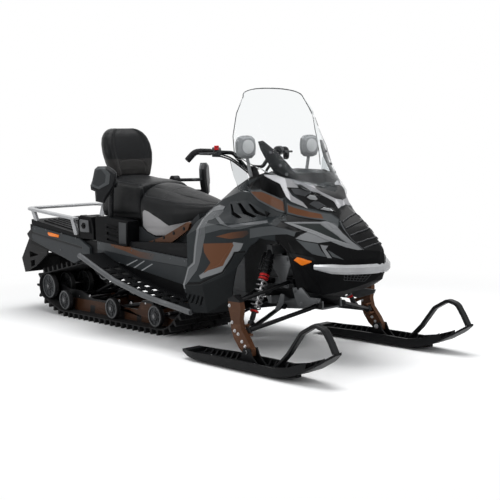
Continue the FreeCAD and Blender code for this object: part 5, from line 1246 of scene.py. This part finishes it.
for side in (-1, 1):
    top, foot = mm(947, side * 200, 590), mm(985, side * 395, 215)
    whole = foot - top
    along = whole.normalized()
    pin_half = along.cross(Vector((1, 0, 0))).normalized() * 0.012
    round_bar(bodies, [top - pin_half, top + pin_half], 0.017, 20)
    round_bar(bodies, [foot - pin_half, foot + pin_half], 0.015, 20)
    for target, shares, radii in ((bodies, (0.03, 0.05, 0.40, 0.41), (0.014, 0.0215, 0.0215, 0.017)),
                                  (rods, (0.41, 0.86), (0.0075, 0.0075)),
                                  (bodies, (0.80, 0.82, 0.95, 0.97), (0.011, 0.014, 0.014, 0.010)),
                                  (collars, (0.398, 0.402, 0.424, 0.428), (0.024, 0.0265, 0.0265, 0.024)),
                                  (collars, (0.355, 0.36, 0.38, 0.385), (0.024, 0.026, 0.026, 0.024)),
                                  (collars, (0.835, 0.84, 0.855, 0.86), (0.020, 0.024, 0.024, 0.018)),
                                  (bodies, (0.155, 0.16, 0.20, 0.205), (0.023, 0.026, 0.026, 0.023))):
        round_bar(target, [top + whole * share for share in shares], radii, 24)
    u = along.orthogonal().normalized()
    v = along.cross(u)
    for start, run, turns in ((0.165, 0.195, 4), (0.44, 0.385, 6)):
        helix = []
        for share in [k / (turns * steps_a_turn) for k in range(turns * steps_a_turn + 1)]:
            angle = share * turns * math.tau * side
            outward = u * math.cos(angle) + v * math.sin(angle)
            helix.append(top + whole * (start + run * share) + outward * coil_radius)
        round_bar(coils, helix, coil_wire, 8)
    reservoir_top = top + along * 0.03 + Vector((-0.038, 0, 0))
    round_bar(bodies, [reservoir_top + along * step for step in (0.0, 0.004, 0.10, 0.104)],
              (0.013, 0.0165, 0.0165, 0.013), 20)
keep("front_springs", coils, spring_paint, "chassis", 60)
dampers = keep("front_dampers", bodies, damper_black, "chassis", 40)
keep("damper_rods", rods, bright_steel, "chassis", 40)
keep("spring_collars", collars, red_paint, "chassis", 40)
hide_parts("front_shocks")
work = bmesh.new()
side_plates(work, [(905, 552), (1062, 552), (1066, 505), (1030, 428), (1052, 392), (1030, 372), (985, 392),
                   (962, 440), (905, 500)], 0.172, 0.008)
side_plates(work, [(1110, 392), (1180, 398), (1236, 352), (1312, 352), (1300, 330), (1190, 296), (1150, 300),
                   (1128, 340)], 0.205, 0.010, 0.004)
side_plates(work, [(1040, 356), (1064, 352), (1052, 300), (1010, 262), (986, 262), (1018, 306)], 0.225, 0.008)
side_bolts(work, ((925, 535), (1045, 535), (1040, 385)), 181, 0.008, 0.006)
side_bolts(work, ((1130, 380), (1178, 312), (1290, 342)), 216, 0.008, 0.006)
keep("cast_brackets", work, cast_grey, "chassis")
leg_coat = finish("leg_powder_coat", (0.064, 0.026, 0.0115), 0.38, metal=0.3, grain=0.0012, grain_height=0.25,
                  coat=0.03, rub=0.4)
paint_zone(leg_coat, [[(850, 340), (1150, 340), (1150, 430), (850, 430)]], (0.005, 0.0052, 0.0058))
leg_bolt_places = ((930, 345), (948, 318), (925, 292), (944, 246), (966, 232), (985, 190), (1012, 176),
                   (1040, 140), (1064, 118))
for name, side in (("left", 1), ("right", -1)):
    wear("leg_" + name, leg_coat, 30.0, 0.003)
    leg_skin = skin_of("leg_" + name)
    work = bmesh.new()
    for x, z in leg_bolt_places:
        for way, from_y in ((1, 600), (-1, 360)):
            facing = Vector((0, side * way, 0))
            place, normal, _, _ = leg_skin.ray_cast(mm(x, side * from_y, z), -facing)
            if place is not None and abs(normal.y) > 0.5:
                bolt_head(work, place, facing, 0.0065, 0.006)
    keep("leg_bolts_" + name, work, bright_steel, "leg_" + name)

# The skis: deep moulded plastic runners with cross ribs, a steel keel bar and a grey pull loop at the tip.
# A bolted saddle holds each ski on its upright.
ski_plastic = finish("ski_plastic", (0.0055, 0.0058, 0.0064), 0.42, grain=0.0012, grain_height=0.3, rub=0.2,
                     shine=0.091)
loop_grey = finish("ski_loop_plastic", (0.0065, 0.007, 0.0078), 0.4, grain=0.0009, coat=0.014)
ski_bottom = ((600, 42), (650, 22), (720, 14), (1340, 14), (1440, 26), (1540, 62), (1640, 112), (1716, 160))
ski_rim = ((600, 54), (720, 52), (900, 58), (1180, 60), (1340, 58), (1440, 74), (1540, 106), (1640, 150),
           (1716, 178))
ski_middle, saddle_middle = 500, 489
ski_half, rib_length, rib_half_thick = 66, 30, 4
rib_places = [x for x in range(680, 1563, 42) if not 1000 < x < 1180]
for name, side in (("left", 1), ("right", -1)):
    wear("ski_" + name, ski_plastic, 30.0, 0.002)
    wear("ski_loop_" + name, loop_grey, 30.0, 0.003)
    moulded = nodes["ski_loop_" + name].modifiers.new("moulded_thickness", "DISPLACE")
    moulded.strength = 0.0035
    moulded.mid_level = 0.0
    ribs, bolts = bmesh.new(), bmesh.new()
    for x in rib_places:
        half = 56 if x <= 700 else ski_half - max(0, x - 1440) * 0.12
        floor_z, top_z = height_on(ski_bottom, x) + 11, height_on(ski_rim, x) - 4
        for out in (-1, 1):
            corners = ((half, floor_z), (half - rib_length, floor_z), (half - rib_length * 0.25, top_z),
                       (half, top_z))
            bridge(ribs, [[ribs.verts.new(mm(x + ahead, side * ski_middle + out * y, z)) for y, z in corners]
                          for ahead in (rib_half_thick, -rib_half_thick)])
    for x in (760, 880, 980, 1200, 1290, 1380):
        for y in (-14, 14):
            place = mm(x, side * ski_middle + y, height_on(ski_bottom, x) + 12)
            bolt_head(bolts, place, Vector((0, 0, 1)), 0.007, 0.006)
    for out in (-1, 1):
        outward = Vector((0, out, 0))
        bolt_head(bolts, mm(1088, side * saddle_middle + out * 29, 94), outward, 0.010, 0.009)
        for x, z in ((1696, 164), (1680, 192)):
            bolt_head(bolts, mm(x, side * ski_middle + out * 16.2, z), outward, 0.005, 0.003)
    keep("ski_ribs_" + name, ribs, ski_plastic, "ski_" + name, 30)
    keep("ski_bolts_" + name, bolts, bright_steel, "ski_" + name)
